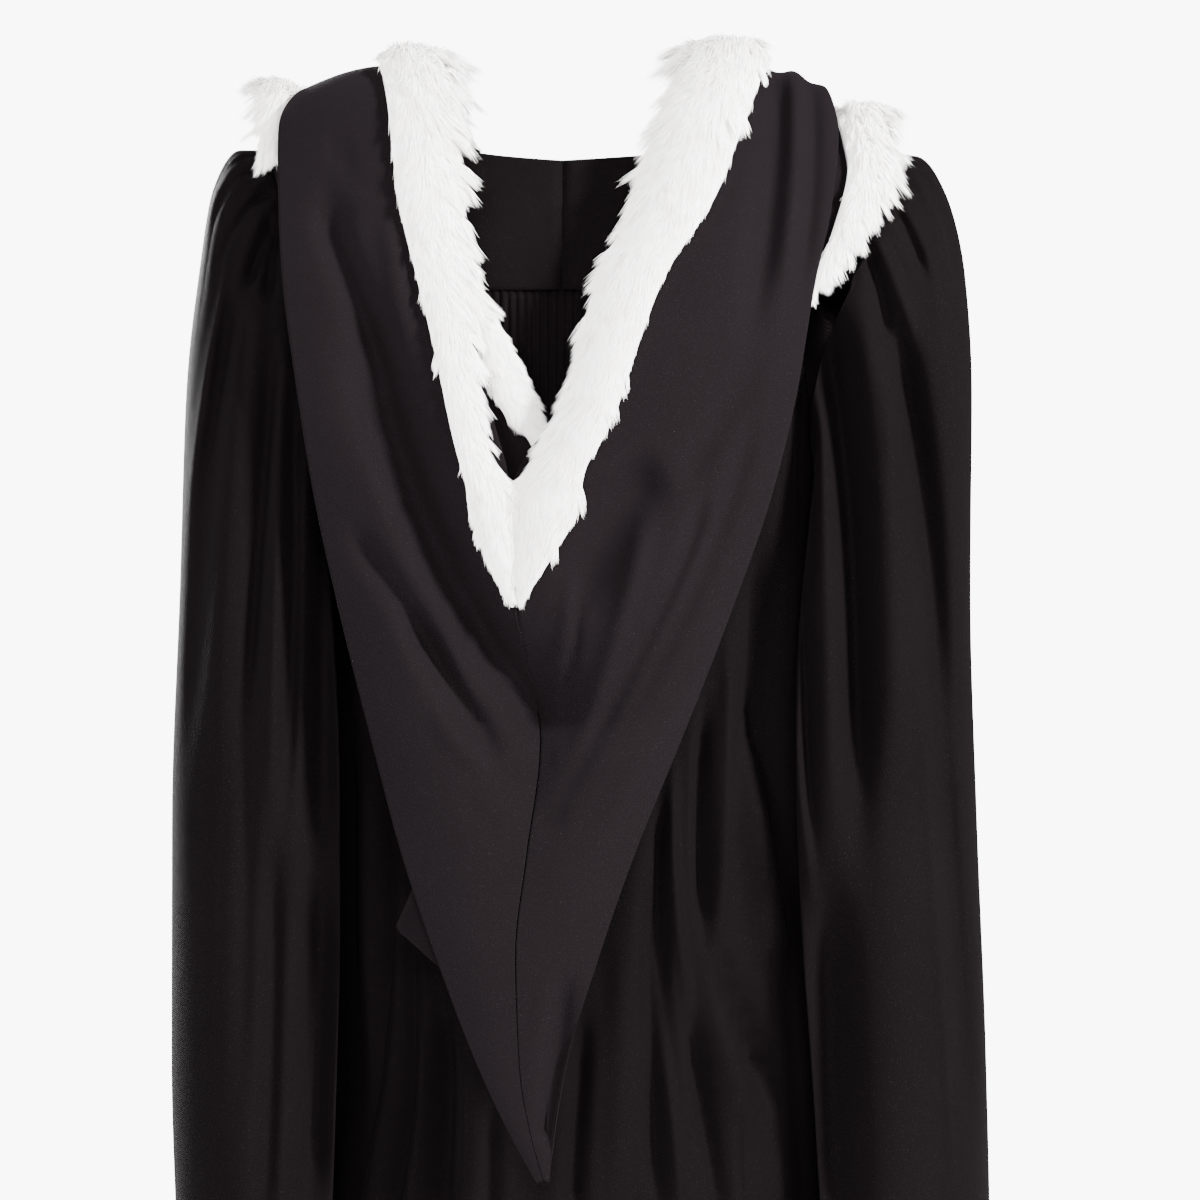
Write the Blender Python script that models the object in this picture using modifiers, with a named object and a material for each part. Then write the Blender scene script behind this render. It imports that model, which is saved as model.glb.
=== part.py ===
"""A graduation gown and its fur-edged hood, hollow, in the pose of the wearer's back.

Metres, +Z up. The wearer faces -Y, so the back that shows most is +Y and the wearer's left is +X.
The origin is at the base of the neck, where the wearer's neck and shoulders hold the garment up.
Angles go round the wearer from the centre back, positive towards the wearer's left.
"""

import math
from collections import namedtuple

import bpy
import numpy as np

# Driving sizes of the cloth and the cut
CLOTH = 0.0016
SEAM_GAP = 0.0003
YOKE_SEAM_Z = -0.102
HEM_Z = -1.220
UNDERARM_DROP = 0.150
SHOULDER_RISE = 0.096
ARMHOLE_HALF_ANGLE = math.radians(33)
FRONT_EDGE_X = 0.078
SIDE_SEAM_GAP = math.radians(0.02)

# Gathers of the back panel at the yoke seam, and how they melt into long folds below
GATHER_PITCH = 0.0066
GATHERS_PER_SIDE = 29
GATHER_DEPTH = 0.0017
SIDE_COLUMNS = 6
BACK_ROWS_Z = (-0.125, -0.175, -0.250, -0.380, -0.600, -0.900, HEM_Z)

SLEEVE_COLUMNS = 48
SLEEVE_GATHER_DEPTH = 0.0022
SQUARENESS = 2.4
WRAP_BACK = 0.075
WRAP_FRONT = 0.030
WRAP_CLEARANCE = 0.016
LEFT_LAP = 0.016
RIGHT_LAP = 0.026
LAP_CLEARANCE = 0.007

Level = namedtuple("Level", "z half_width back front")
FORM = [
    Level(-1.220, 0.234, 0.170, 0.172),
    Level(-1.020, 0.212, 0.156, 0.160),
    Level(-0.800, 0.203, 0.141, 0.147),
    Level(-0.550, 0.202, 0.127, 0.137),
    Level(-0.350, 0.202, 0.120, 0.131),
    Level(-0.200, 0.204, 0.118, 0.126),
    Level(-0.102, 0.208, 0.111, 0.112),
    Level(-0.060, 0.213, 0.100, 0.098),
    Level(-0.030, 0.214, 0.090, 0.086),
    Level(-0.010, 0.208, 0.082, 0.077),
    Level(0.005, 0.186, 0.075, 0.070),
    Level(0.020, 0.148, 0.066, 0.062),
    Level(0.035, 0.112, 0.058, 0.055),
    Level(0.050, 0.084, 0.052, 0.050),
]

Neck = namedtuple("Neck", "degrees z")
NECKLINE = [
    Neck(0, 0.000),
    Neck(22, 0.008),
    Neck(35, 0.022),
    Neck(50, 0.034),
    Neck(70, 0.042),
    Neck(90, 0.0450),
    Neck(110, 0.042),
    Neck(130, 0.035),
    Neck(150, 0.022),
]

# Long folds that show from behind. A row is a ridge where depth is positive and a trough where it is negative.
Fold = namedtuple("Fold", "x_top z_top x_low z_low half_width depth")
BACK_FOLDS = [
    Fold(0.160, -0.300, 0.176, -0.780, 0.016, -0.012),
    Fold(0.150, -0.420, 0.166, -1.220, 0.012, 0.007),
    Fold(0.138, -0.420, 0.150, -1.220, 0.010, -0.012),
    Fold(0.118, -0.420, 0.127, -1.220, 0.011, 0.007),
    Fold(0.100, -0.420, 0.105, -1.220, 0.010, -0.012),
    Fold(0.078, -0.420, 0.082, -1.220, 0.011, 0.007),
    Fold(0.052, -0.360, 0.056, -1.220, 0.014, -0.013),
    Fold(0.020, -0.360, 0.022, -1.220, 0.015, 0.006),
    Fold(-0.008, -0.360, -0.010, -1.220, 0.010, -0.012),
    Fold(-0.034, -0.360, -0.040, -1.220, 0.013, 0.007),
    Fold(-0.054, -0.360, -0.070, -1.220, 0.008, -0.013),
    Fold(-0.068, -0.360, -0.090, -1.220, 0.008, 0.007),
    Fold(-0.082, -0.300, -0.108, -1.220, 0.008, -0.013),
    Fold(-0.104, -0.300, -0.136, -1.220, 0.015, 0.008),
    Fold(-0.136, -0.250, -0.160, -0.900, 0.014, -0.012),
]

# Hanging sleeves: the outer and inner points of each ring and its half depth, from the armhole down
Ring = namedtuple("Ring", "x_out z_out x_in z_in half_depth")
LEFT_SLEEVE = [
    Ring(0.240, 0.016, 0.212, -0.266, 0.086),
    Ring(0.267, 0.016, 0.214, -0.276, 0.090),
    Ring(0.288, -0.014, 0.215, -0.300, 0.096),
    Ring(0.300, -0.082, 0.2105, -0.345, 0.104),
    Ring(0.310, -0.175, 0.2085, -0.410, 0.114),
    Ring(0.315, -0.335, 0.2085, -0.500, 0.126),
    Ring(0.321, -0.515, 0.2090, -0.630, 0.138),
    Ring(0.321, -0.700, 0.2115, -0.770, 0.148),
    Ring(0.316, -0.860, 0.2180, -0.890, 0.156),
    Ring(0.313, -0.985, 0.2240, -0.985, 0.160),
]
RIGHT_SLEEVE = [
    Ring(0.242, 0.014, 0.212, -0.266, 0.086),
    Ring(0.272, 0.011, 0.214, -0.276, 0.090),
    Ring(0.294, -0.018, 0.215, -0.300, 0.096),
    Ring(0.310, -0.084, 0.2105, -0.345, 0.104),
    Ring(0.3155, -0.180, 0.2085, -0.410, 0.114),
    Ring(0.314, -0.335, 0.2085, -0.500, 0.126),
    Ring(0.319, -0.515, 0.2090, -0.630, 0.138),
    Ring(0.326, -0.700, 0.2115, -0.770, 0.148),
    Ring(0.329, -0.860, 0.2180, -0.890, 0.156),
    Ring(0.329, -0.985, 0.2240, -0.985, 0.160),
]
SLEEVE_FOLDS = {
    "left": [
        Fold(0.285, -0.040, 0.292, -0.985, 0.012, 0.007),
        Fold(0.262, -0.030, 0.276, -0.985, 0.012, -0.013),
        Fold(0.250, -0.040, 0.260, -0.985, 0.012, 0.008),
        Fold(0.243, -0.090, 0.238, -0.985, 0.010, -0.012),
        Fold(0.232, -0.180, 0.222, -0.985, 0.009, 0.006),
    ],
    "right": [
        Fold(-0.280, -0.050, -0.302, -0.985, 0.012, 0.008),
        Fold(-0.262, -0.040, -0.286, -0.985, 0.011, -0.013),
        Fold(-0.240, -0.060, -0.262, -0.985, 0.013, 0.009),
        Fold(-0.214, -0.090, -0.238, -0.985, 0.011, -0.013),
        Fold(-0.198, -0.140, -0.218, -0.985, 0.009, 0.006),
    ],
}

# Hood cloth, from its front end over the shoulder and down the back. Inner is the neck or centre seam side.
# Lean is where the cloth faces: 0 behind, 90 up, 180 in front. Crown is how far the middle stands out.
Row = namedtuple("Row", "x_in y_in z_in x_out y_out z_out lean crown")
LEFT_COWL = [
    Row(0.0145, -0.142, -0.118, 0.046, -0.139, -0.150, 180, 0.001),
    Row(0.050, -0.136, -0.068, 0.102, -0.132, -0.108, 170, 0.004),
    Row(0.088, -0.094, 0.010, 0.166, -0.092, -0.026, 150, 0.008),
    Row(0.108, -0.042, 0.062, 0.178, -0.043, 0.057, 115, 0.008),
    Row(0.112, 0.010, 0.078, 0.211, 0.014, 0.064, 90, 0.010),
    Row(0.104, 0.074, 0.044, 0.232, 0.070, 0.028, 45, 0.012),
    Row(0.094, 0.122, -0.040, 0.229, 0.108, -0.050, 15, 0.010),
    Row(0.085, 0.136, -0.096, 0.225, 0.122, -0.100, 5, 0.010),
    Row(0.066, 0.151, -0.190, 0.212, 0.136, -0.190, 0, 0.012),
    Row(0.0485, 0.160, -0.262, 0.200, 0.141, -0.262, 0, 0.013),
    Row(0.0445, 0.164, -0.348, 0.181, 0.146, -0.348, 0, 0.014),
    Row(0.0265, 0.158, -0.450, 0.155, 0.153, -0.450, 0, 0.018),
    Row(0.0365, 0.172, -0.535, 0.132, 0.161, -0.535, 0, 0.008),
    Row(0.0450, 0.177, -0.612, 0.106, 0.168, -0.612, 0, 0.004),
    Row(0.0420, 0.179, -0.697, 0.073, 0.174, -0.697, 0, 0.002),
    Row(0.0325, 0.180, -0.751, 0.047, 0.178, -0.751, 0, 0.001),
    Row(0.0238, 0.180, -0.782, 0.0285, 0.179, -0.784, 0, 0.000),
]
RIGHT_COWL = [
    Row(-0.0145, -0.142, -0.118, -0.046, -0.139, -0.150, 180, 0.001),
    Row(-0.050, -0.136, -0.068, -0.102, -0.132, -0.108, 170, 0.004),
    Row(-0.086, -0.094, 0.012, -0.156, -0.092, -0.014, 150, 0.008),
    Row(-0.100, -0.042, 0.066, -0.182, -0.040, 0.056, 115, 0.008),
    Row(-0.100, 0.010, 0.084, -0.196, 0.014, 0.066, 90, 0.010),
    Row(-0.086, 0.074, 0.048, -0.206, 0.066, 0.026, 45, 0.010),
    Row(-0.058, 0.124, -0.030, -0.198, 0.112, -0.040, 15, 0.010),
    Row(-0.026, 0.142, -0.096, -0.185, 0.126, -0.098, 5, 0.012),
    Row(0.008, 0.156, -0.190, -0.169, 0.138, -0.190, 0, 0.014),
    Row(0.0476, 0.160, -0.262, -0.151, 0.143, -0.262, 0, 0.015),
    Row(0.0436, 0.164, -0.348, -0.121, 0.149, -0.348, 0, 0.015),
    Row(0.0258, 0.158, -0.450, -0.081, 0.156, -0.450, 0, 0.018),
    Row(0.0358, 0.172, -0.535, -0.046, 0.164, -0.535, 0, 0.008),
    Row(0.0443, 0.177, -0.612, -0.019, 0.170, -0.612, 0, 0.004),
    Row(0.0413, 0.179, -0.697, 0.007, 0.175, -0.697, 0, 0.002),
    Row(0.0318, 0.180, -0.751, 0.0160, 0.178, -0.751, 0, 0.001),
    Row(0.0230, 0.180, -0.782, 0.0190, 0.179, -0.784, 0, 0.000),
]
LEFT_CAPE = [
    Row(0.0145, -0.1394, -0.119, 0.042, -0.1362, -0.147, 180, 0.001),
    Row(0.052, -0.124, -0.070, 0.096, -0.118, -0.104, 170, 0.002),
    Row(0.092, -0.080, -0.002, 0.180, -0.080, -0.022, 150, 0.004),
    Row(0.108, -0.036, 0.0331, 0.243, -0.030, 0.055, 115, 0.001),
    Row(0.112, 0.010, 0.0401, 0.244, 0.010, 0.054, 90, 0.002),
    Row(0.106, 0.066, 0.018, 0.236, 0.060, -0.008, 45, 0.002),
    Row(0.094, 0.106, -0.050, 0.214, 0.096, -0.062, 15, 0.003),
    Row(0.078, 0.120, -0.100, 0.194, 0.108, -0.122, 5, 0.003),
    Row(0.048, 0.130, -0.168, 0.180, 0.116, -0.190, 0, 0.003),
    Row(0.0209, 0.136, -0.232, 0.172, 0.118, -0.262, 0, 0.003),
    Row(0.0209, 0.137, -0.348, 0.158, 0.122, -0.348, 0, 0.003),
    Row(0.0209, 0.137, -0.450, 0.134, 0.129, -0.450, 0, 0.002),
    Row(0.0209, 0.149, -0.535, 0.116, 0.142, -0.545, 0, 0.002),
    Row(0.0209, 0.156, -0.600, 0.137, 0.151, -0.593, 0, 0.001),
    Row(0.0209, 0.159, -0.640, 0.104, 0.156, -0.622, 0, 0.001),
]
RIGHT_CAPE = [
    Row(-0.0145, -0.1394, -0.119, -0.042, -0.1362, -0.147, 180, 0.001),
    Row(-0.052, -0.124, -0.070, -0.096, -0.118, -0.104, 170, 0.002),
    Row(-0.090, -0.080, 0.000, -0.180, -0.080, -0.032, 150, 0.003),
    Row(-0.102, -0.036, 0.0366, -0.228, -0.034, 0.038, 115, 0.003),
    Row(-0.104, 0.010, 0.0436, -0.237, 0.010, 0.034, 90, 0.003),
    Row(-0.094, 0.068, 0.022, -0.236, 0.062, -0.006, 45, 0.003),
    Row(-0.066, 0.108, -0.050, -0.214, 0.096, -0.060, 15, 0.003),
    Row(-0.040, 0.122, -0.100, -0.176, 0.110, -0.108, 5, 0.003),
    Row(-0.010, 0.132, -0.168, -0.142, 0.120, -0.180, 0, 0.003),
    Row(0.0197, 0.136, -0.232, -0.120, 0.124, -0.250, 0, 0.003),
    Row(0.0197, 0.137, -0.348, -0.090, 0.128, -0.348, 0, 0.003),
    Row(0.0197, 0.137, -0.450, -0.056, 0.135, -0.450, 0, 0.002),
    Row(0.0197, 0.149, -0.535, -0.026, 0.147, -0.535, 0, 0.002),
    Row(0.0197, 0.156, -0.600, 0.000, 0.155, -0.596, 0, 0.001),
    Row(0.0197, 0.159, -0.640, 0.004, 0.158, -0.632, 0, 0.001),
]
UNDERTURN = 0.020
UNDERTURN_DROP = 0.010
FUR_LIFT = 0.0010

# Large folds of the hood as curves through three points seen from behind: a trough where depth is negative
Crease = namedtuple("Crease", "x_top z_top x_mid z_mid x_low z_low half_width depth")
COWL_CREASES = {
    "left": [
        Crease(0.206, -0.010, 0.130, -0.225, 0.030, -0.440, 0.014, -0.012),
        Crease(0.180, -0.330, 0.130, -0.380, 0.070, -0.470, 0.014, -0.006),
        Crease(0.165, -0.180, 0.105, -0.350, 0.040, -0.455, 0.016, 0.006),
    ],
    "right": [
        Crease(-0.150, 0.010, -0.110, -0.240, 0.000, -0.470, 0.013, -0.010),
        Crease(-0.180, 0.020, -0.178, -0.060, -0.150, -0.120, 0.010, -0.006),
        Crease(-0.064, -0.240, -0.030, -0.320, 0.020, -0.440, 0.012, -0.010),
        Crease(-0.165, -0.080, -0.110, -0.160, -0.034, -0.275, 0.018, 0.006),
    ],
}

# Fur bands along edges of the hood cloth: a row of that cloth, the width, how far it passes the edge, the pile
Fur = namedtuple("Fur", "row width over pile")
V_FUR_LEFT = [
    Fur(0.5, 0.020, 0.004, 0.008),
    Fur(2.0, 0.052, 0.008, 0.013),
    Fur(4.0, 0.060, 0.010, 0.017),
    Fur(5.0, 0.059, 0.010, 0.017),
    Fur(6.0, 0.057, 0.010, 0.016),
    Fur(7.0, 0.050, 0.008, 0.015),
    Fur(8.0, 0.044, 0.005, 0.014),
    Fur(9.0, 0.038, -0.001, 0.014),
    Fur(9.5, 0.028, -0.001, 0.012),
    Fur(10.0, 0.003, -0.001, 0.006),
]
V_FUR_RIGHT = [
    Fur(0.5, 0.020, 0.004, 0.008),
    Fur(2.0, 0.054, 0.008, 0.013),
    Fur(4.0, 0.066, 0.010, 0.018),
    Fur(5.0, 0.069, 0.011, 0.018),
    Fur(6.0, 0.068, 0.011, 0.017),
    Fur(7.0, 0.057, 0.008, 0.016),
    Fur(8.0, 0.056, 0.007, 0.015),
    Fur(9.0, 0.058, -0.001, 0.014),
    Fur(9.5, 0.038, -0.001, 0.012),
    Fur(10.0, 0.004, -0.001, 0.006),
]
INNER_FUR_LEFT = [
    Fur(5.5, 0.018, -0.002, 0.007),
    Fur(6.5, 0.032, 0.006, 0.010),
    Fur(8.0, 0.040, 0.011, 0.011),
    Fur(8.5, 0.034, 0.006, 0.010),
    Fur(9.0, 0.008, 0.000, 0.006),
]
INNER_FUR_RIGHT = [
    Fur(5.5, 0.018, -0.002, 0.007),
    Fur(6.5, 0.028, 0.000, 0.009),
    Fur(8.0, 0.034, 0.004, 0.010),
    Fur(8.5, 0.028, 0.001, 0.009),
    Fur(9.0, 0.008, -0.001, 0.006),
]
CAPE_FUR_LEFT = [
    Fur(2.5, 0.030, 0.004, 0.009),
    Fur(3.0, 0.060, 0.008, 0.018),
    Fur(3.5, 0.052, 0.008, 0.020),
    Fur(4.0, 0.036, 0.008, 0.018),
    Fur(4.5, 0.020, 0.007, 0.013),
    Fur(4.9, 0.012, 0.006, 0.010),
]
CAPE_FUR_RIGHT = [
    Fur(2.5, 0.030, 0.004, 0.009),
    Fur(3.0, 0.048, 0.008, 0.017),
    Fur(4.0, 0.046, 0.010, 0.019),
    Fur(5.0, 0.040, 0.010, 0.016),
    Fur(6.0, 0.029, 0.008, 0.013),
    Fur(7.0, 0.010, 0.004, 0.007),
]


def read(table, name, at, key=None):
    """One column of a table between its rows, on a curve that never overshoots them. Rows are numbered
    unless a key column is named."""
    keys = np.array([getattr(row, key) for row in table] if key else range(len(table)), float)
    values = np.array([getattr(row, name) for row in table], float)
    step = np.diff(keys)
    slope = np.diff(values) / step
    before, after = slope[:-1], slope[1:]
    total = np.where(before + after == 0, 1, before + after)
    middle = np.where(before * after > 0, 2 * before * after / total, 0)
    tangent = np.concatenate([[slope[0]], middle, [slope[-1]]])
    at = np.asarray(at, float)
    i = np.clip(np.searchsorted(keys, at, side="right") - 1, 0, len(step) - 1)
    t = np.clip((at - keys[i]) / step[i], 0, 1)
    return (
        values[i] * (1 + 2 * t) * (1 - t) ** 2
        + tangent[i] * step[i] * t * (1 - t) ** 2
        + values[i + 1] * t**2 * (3 - 2 * t)
        - tangent[i + 1] * step[i] * t**2 * (1 - t)
    )


def ease(value, start, end):
    """0 before start, 1 after end and a smooth rise between."""
    t = np.clip((value - start) / (end - start), 0, 1)
    return t * t * (3 - 2 * t)


def form_point(angle, z, out=0.0):
    """Points on the wearer's padded form at angles and heights, moved out level by that much."""
    angle, z = np.broadcast_arrays(np.asarray(angle, float), np.asarray(z, float))
    width = read(FORM, "half_width", z, "z")
    depth = np.where(np.cos(angle) >= 0, read(FORM, "back", z, "z"), read(FORM, "front", z, "z"))
    sine, cosine = np.sin(angle), np.cos(angle)
    across = np.sign(sine) * np.abs(sine) ** (2 / SQUARENESS)
    deep = np.sign(cosine) * np.abs(cosine) ** (2 / SQUARENESS)
    normal_x = np.sign(sine) * np.abs(across) ** (SQUARENESS - 1) / width
    normal_y = np.sign(cosine) * np.abs(deep) ** (SQUARENESS - 1) / depth
    length = np.hypot(normal_x, normal_y)
    x = width * across + out * normal_x / length
    y = depth * deep + out * normal_y / length
    return np.stack([x, y, z], axis=-1)


def even_angles(z, first, last, count):
    """Angles that split the form's outline at a height into equal lengths."""
    fine = np.linspace(first, last, 721)
    points = form_point(fine, z)
    length = np.concatenate([[0], np.cumsum(np.linalg.norm(np.diff(points, axis=0), axis=1))])
    return np.interp(np.linspace(0, length[-1], count), length, fine)


def fold_relief(folds, x, z):
    """How far the long folds push the cloth out at points seen from behind."""
    relief = np.zeros(np.broadcast(x, z).shape)
    for fold in folds:
        t = np.clip((fold.z_top - z) / (fold.z_top - fold.z_low), 0, 1)
        middle = fold.x_top + (fold.x_low - fold.x_top) * t
        rise = ease(-z, -fold.z_top, -fold.z_top + 0.16)
        fade = 1 if fold.z_low < -0.95 else 1 - ease(-z, -fold.z_low - 0.15, -fold.z_low)
        relief += fold.depth * rise * fade * np.exp(-(((x - middle) / fold.half_width) ** 2))
    return relief


def armhole_z(angle, half):
    """Height of the armhole's upper (half 1) or lower (half -1) edge at an angle from the centre back."""
    sine = np.clip((math.pi / 2 - np.abs(angle)) / ARMHOLE_HALF_ANGLE, -1, 1)
    reach = SHOULDER_RISE if half > 0 else -UNDERARM_DROP
    return YOKE_SEAM_Z + reach * np.sqrt(1 - sine**2)


def armhole_point(turn, side):
    """Points round an armhole. Turn 0 is the shoulder's tip, a quarter turn the back, a half turn the underarm."""
    angle = math.pi / 2 - ARMHOLE_HALF_ANGLE * np.sin(turn)
    reach = np.where(np.cos(turn) >= 0, SHOULDER_RISE, UNDERARM_DROP)
    return form_point(side * angle, YOKE_SEAM_Z + reach * np.cos(turn))


def grid_normals(points):
    """Unit normals of a grid of points, along rows crossed with columns."""
    normal = np.cross(np.gradient(points, axis=0), np.gradient(points, axis=1))
    return normal / np.maximum(np.linalg.norm(normal, axis=-1, keepdims=True), 1e-12)


def cloth_object(name, points, collection, material, thickness=CLOTH, ring=False, out=-1, pile=None):
    """A panel: a grid of points with a Solidify wall. Its outer face is the side that the wearer's back faces.

    A ring's last column joins its first. With pile, the wall's thickness follows those values, from 0 to 1.
    """
    rows, columns = points.shape[:2]
    mesh = bpy.data.meshes.new(name)
    faces = []
    for row in range(rows - 1):
        for column in range(columns if ring else columns - 1):
            beside = (column + 1) % columns
            a, b = row * columns + column, row * columns + beside
            faces.append((a, a + columns, b + columns, b))
    mesh.from_pydata(points.reshape(-1, 3).tolist(), [], faces)
    mesh.shade_smooth()
    mesh.set_sharp_from_angle(angle=math.radians(60))
    thing = bpy.data.objects.new(name, mesh)
    collection.objects.link(thing)
    mesh.materials.append(material)
    wall = thing.modifiers.new("wall", "SOLIDIFY")
    wall.thickness = thickness
    wall.offset = out
    if pile is not None:
        group = thing.vertex_groups.new(name="pile")
        for index, share in enumerate(pile.reshape(-1)):
            group.add([index], float(share), "REPLACE")
        wall.vertex_group = group.name
    return thing


def turned_to(points, towards):
    """The grid with its columns reversed if its normals don't face the given way."""
    normals = grid_normals(points)
    return points if (normals * towards).sum() > 0 else points[:, ::-1]


def make_material(name, colour, roughness):
    material = bpy.data.materials.new(name)
    material.use_nodes = True
    shader = material.node_tree.nodes["Principled BSDF"]
    shader.inputs["Base Color"].default_value = (*colour, 1)
    shader.inputs["Roughness"].default_value = roughness
    shader.inputs["Metallic"].default_value = 0
    return material


def yoke_half(side):
    """One half of the yoke, from the centre back seam over the shoulder to the front edge."""
    degrees = np.concatenate([np.linspace(0, 57, 8), np.linspace(63, 123, 9), np.linspace(131, 150, 3)])
    base = np.radians(degrees)
    neck = read(NECKLINE, "z", degrees, "degrees")
    outer = np.full(len(base), YOKE_SEAM_Z + SEAM_GAP / 2)
    near_arm = np.abs(base - math.pi / 2) < ARMHOLE_HALF_ANGLE
    outer[near_arm] = armhole_z(base[near_arm], 1)
    share = np.linspace(0, 1, 7)[:, None]
    z = neck + (outer - neck) * share
    last = np.radians(150)
    back_of_front = np.radians(123)
    edge = math.pi - np.arcsin((FRONT_EDGE_X / read(FORM, "half_width", z, "z")) ** (SQUARENESS / 2))
    spread = np.clip((base - back_of_front) / (last - back_of_front), 0, 1)
    angle = np.where(spread > 0, back_of_front + (edge - back_of_front) * spread, base)
    points = form_point(side * angle, z)
    points[..., 0] = np.where(base == 0, side * SEAM_GAP / 2, points[..., 0])
    return points


def back_panel():
    """The full back, gathered to the yoke and hanging to the hem."""
    last = math.pi / 2 - ARMHOLE_HALF_ANGLE
    fine = even_angles(YOKE_SEAM_Z, -last, last, 4 * GATHERS_PER_SIDE + 1)
    side = np.linspace(last, math.pi / 2 - SIDE_SEAM_GAP, SIDE_COLUMNS + 1)[1:]
    angle = np.concatenate([-side[::-1], fine, side])
    plain = np.zeros(SIDE_COLUMNS)
    gather = np.concatenate([plain, np.cos(np.arange(len(fine)) * math.pi), plain])
    top = np.full(len(angle), YOKE_SEAM_Z - SEAM_GAP / 2)
    beside_arm = np.abs(angle) > last
    top[beside_arm] = armhole_z(angle[beside_arm], -1)
    levels = np.array((YOKE_SEAM_Z, *BACK_ROWS_Z))
    share = (levels - YOKE_SEAM_Z) / (HEM_Z - YOKE_SEAM_Z)
    z = top + (HEM_Z - top) * share[:, None]
    flat = form_point(angle, z)
    melt = 1 - ease(-z, 0.16, 0.50)
    relief = GATHER_DEPTH * gather * melt - GATHER_DEPTH
    relief = relief + fold_relief(BACK_FOLDS, flat[..., 0], z) * np.cos(angle) ** 0.5
    return form_point(angle, z, relief)


def front_panel(side):
    """One front, from the side seam to its open front edge."""
    columns = 20
    share_round = np.linspace(0, 1, columns)
    levels = np.array((YOKE_SEAM_Z, *BACK_ROWS_Z[1:]))
    share = (levels - YOKE_SEAM_Z) / (HEM_Z - YOKE_SEAM_Z)
    edge = math.pi - np.arcsin((FRONT_EDGE_X / read(FORM, "half_width", levels, "z")) ** (SQUARENESS / 2))
    start = math.pi / 2 + SIDE_SEAM_GAP
    top_angle = start + (edge[0] - start) * share_round
    top = np.full(columns, YOKE_SEAM_Z - SEAM_GAP / 2)
    beside_arm = top_angle < math.pi / 2 + ARMHOLE_HALF_ANGLE
    top[beside_arm] = armhole_z(top_angle[beside_arm], -1)
    z = top + (HEM_Z - top) * share[:, None]
    angle = start + (edge[:, None] - start) * share_round
    hang = ease(-z, 0.20, 0.75)
    waves = 0.008 * np.sin(share_round * 4.5 * 2 * math.pi) * hang * np.sin(share_round * math.pi) ** 0.5
    return form_point(side * angle, z, waves - 0.0005)


def lap_over_back(x, y, z, turn, number, lap):
    """Carry a sleeve ring's rear lobe in over the back, just clear of it. It fades out below the elbow."""
    rear = np.clip(np.sin(turn), 0, 1)
    lap = lap * ease(number, -0.5, 1) * (1 - ease(number, 4, 7.5))
    x = x - lap * rear * (1 - np.cos(turn)) / 2
    width, depth = read(FORM, "half_width", z, "z"), read(FORM, "back", z, "z")
    behind = depth * np.clip(1 - (np.abs(x) / width) ** SQUARENESS, 0, 1) ** (1 / SQUARENESS)
    return x, np.where((rear > 0.02) & (behind > 0), np.maximum(y, behind + LAP_CLEARANCE * np.sqrt(rear)), y)


def sleeve_points(rings, folds, side, columns):
    """Rings of a sleeve from the armhole to the cuff. Turn 0 is the outer side, a quarter turn the back."""
    turn = np.arange(columns) * 2 * math.pi / columns
    hole = armhole_point(turn, side)
    away = hole - hole.mean(axis=0)
    away[:, 0] = 0
    away /= np.linalg.norm(away, axis=1, keepdims=True)
    head = hole + away * SEAM_GAP + np.array([side * 0.0012, 0, 0])
    gather = np.cos(np.arange(columns) * math.pi)
    result = [head]
    for number, ring in enumerate(rings):
        swing = np.cos(turn)
        x = (ring.x_out + ring.x_in) / 2 + (ring.x_out - ring.x_in) / 2 * swing
        z = (ring.z_out + ring.z_in) / 2 + (ring.z_out - ring.z_in) / 2 * swing
        y = ring.half_depth * np.sin(turn)
        half_width = (ring.x_out - ring.x_in) / 2
        normal = np.stack([side * swing * ring.half_depth, half_width * np.sin(turn)], axis=-1)
        normal /= np.linalg.norm(normal, axis=1, keepdims=True)
        gathered = SLEEVE_GATHER_DEPTH * gather * max(0, 1 - number / 4) * np.clip(0.6 + swing, 0, 1)
        hang = min(1, number / 5)
        wrap = np.where(np.sin(turn) > 0, WRAP_BACK, WRAP_FRONT) * ease(number, -0.5, 1.5)
        width = read(FORM, "half_width", z, "z")
        depth = np.where(y >= 0, read(FORM, "back", z, "z"), read(FORM, "front", z, "z")) + WRAP_CLEARANCE
        body = width * np.clip(1 - np.abs(y / depth) ** SQUARENESS, 0, 1) ** (1 / SQUARENESS)
        x = x - np.minimum(width - body, wrap) * (1 - swing) / 2
        y = y + fold_relief(folds, side * x, z) * np.clip(np.sin(turn), 0, 1) ** 0.7
        x, y = lap_over_back(x, y, z, turn, number, LEFT_LAP if side > 0 else RIGHT_LAP)
        waves = 0.005 * hang * np.sin(7 * turn + 0.8 * side) * np.clip(-np.sin(turn), 0, 1)
        points = np.stack([side * x, y, z], axis=-1)
        points[:, :2] += normal * (gathered + waves)[:, None]
        result.append(points)
    return np.array(result)


def crease_relief(creases, points):
    """How far the hood's folds push its cloth out, behind the shoulders alone. A fold fades at its ends."""
    x, y, z = np.moveaxis(points, -1, 0)
    relief = np.zeros(x.shape)
    t = np.linspace(0, 1, 25)
    for crease in creases:
        bend_x = 2 * crease.x_mid - (crease.x_top + crease.x_low) / 2
        bend_z = 2 * crease.z_mid - (crease.z_top + crease.z_low) / 2
        line_x = (1 - t) ** 2 * crease.x_top + 2 * t * (1 - t) * bend_x + t**2 * crease.x_low
        line_z = (1 - t) ** 2 * crease.z_top + 2 * t * (1 - t) * bend_z + t**2 * crease.z_low
        distance = np.hypot(x[..., None] - line_x, z[..., None] - line_z)
        nearest = distance.argmin(axis=-1)
        end = np.minimum(t[nearest], 1 - t[nearest])
        away = distance.min(axis=-1)
        relief += crease.depth * ease(end, -0.05, 0.25) * np.exp(-((away / crease.half_width) ** 2))
    return relief * ease(y, 0, 0.06)


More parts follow.
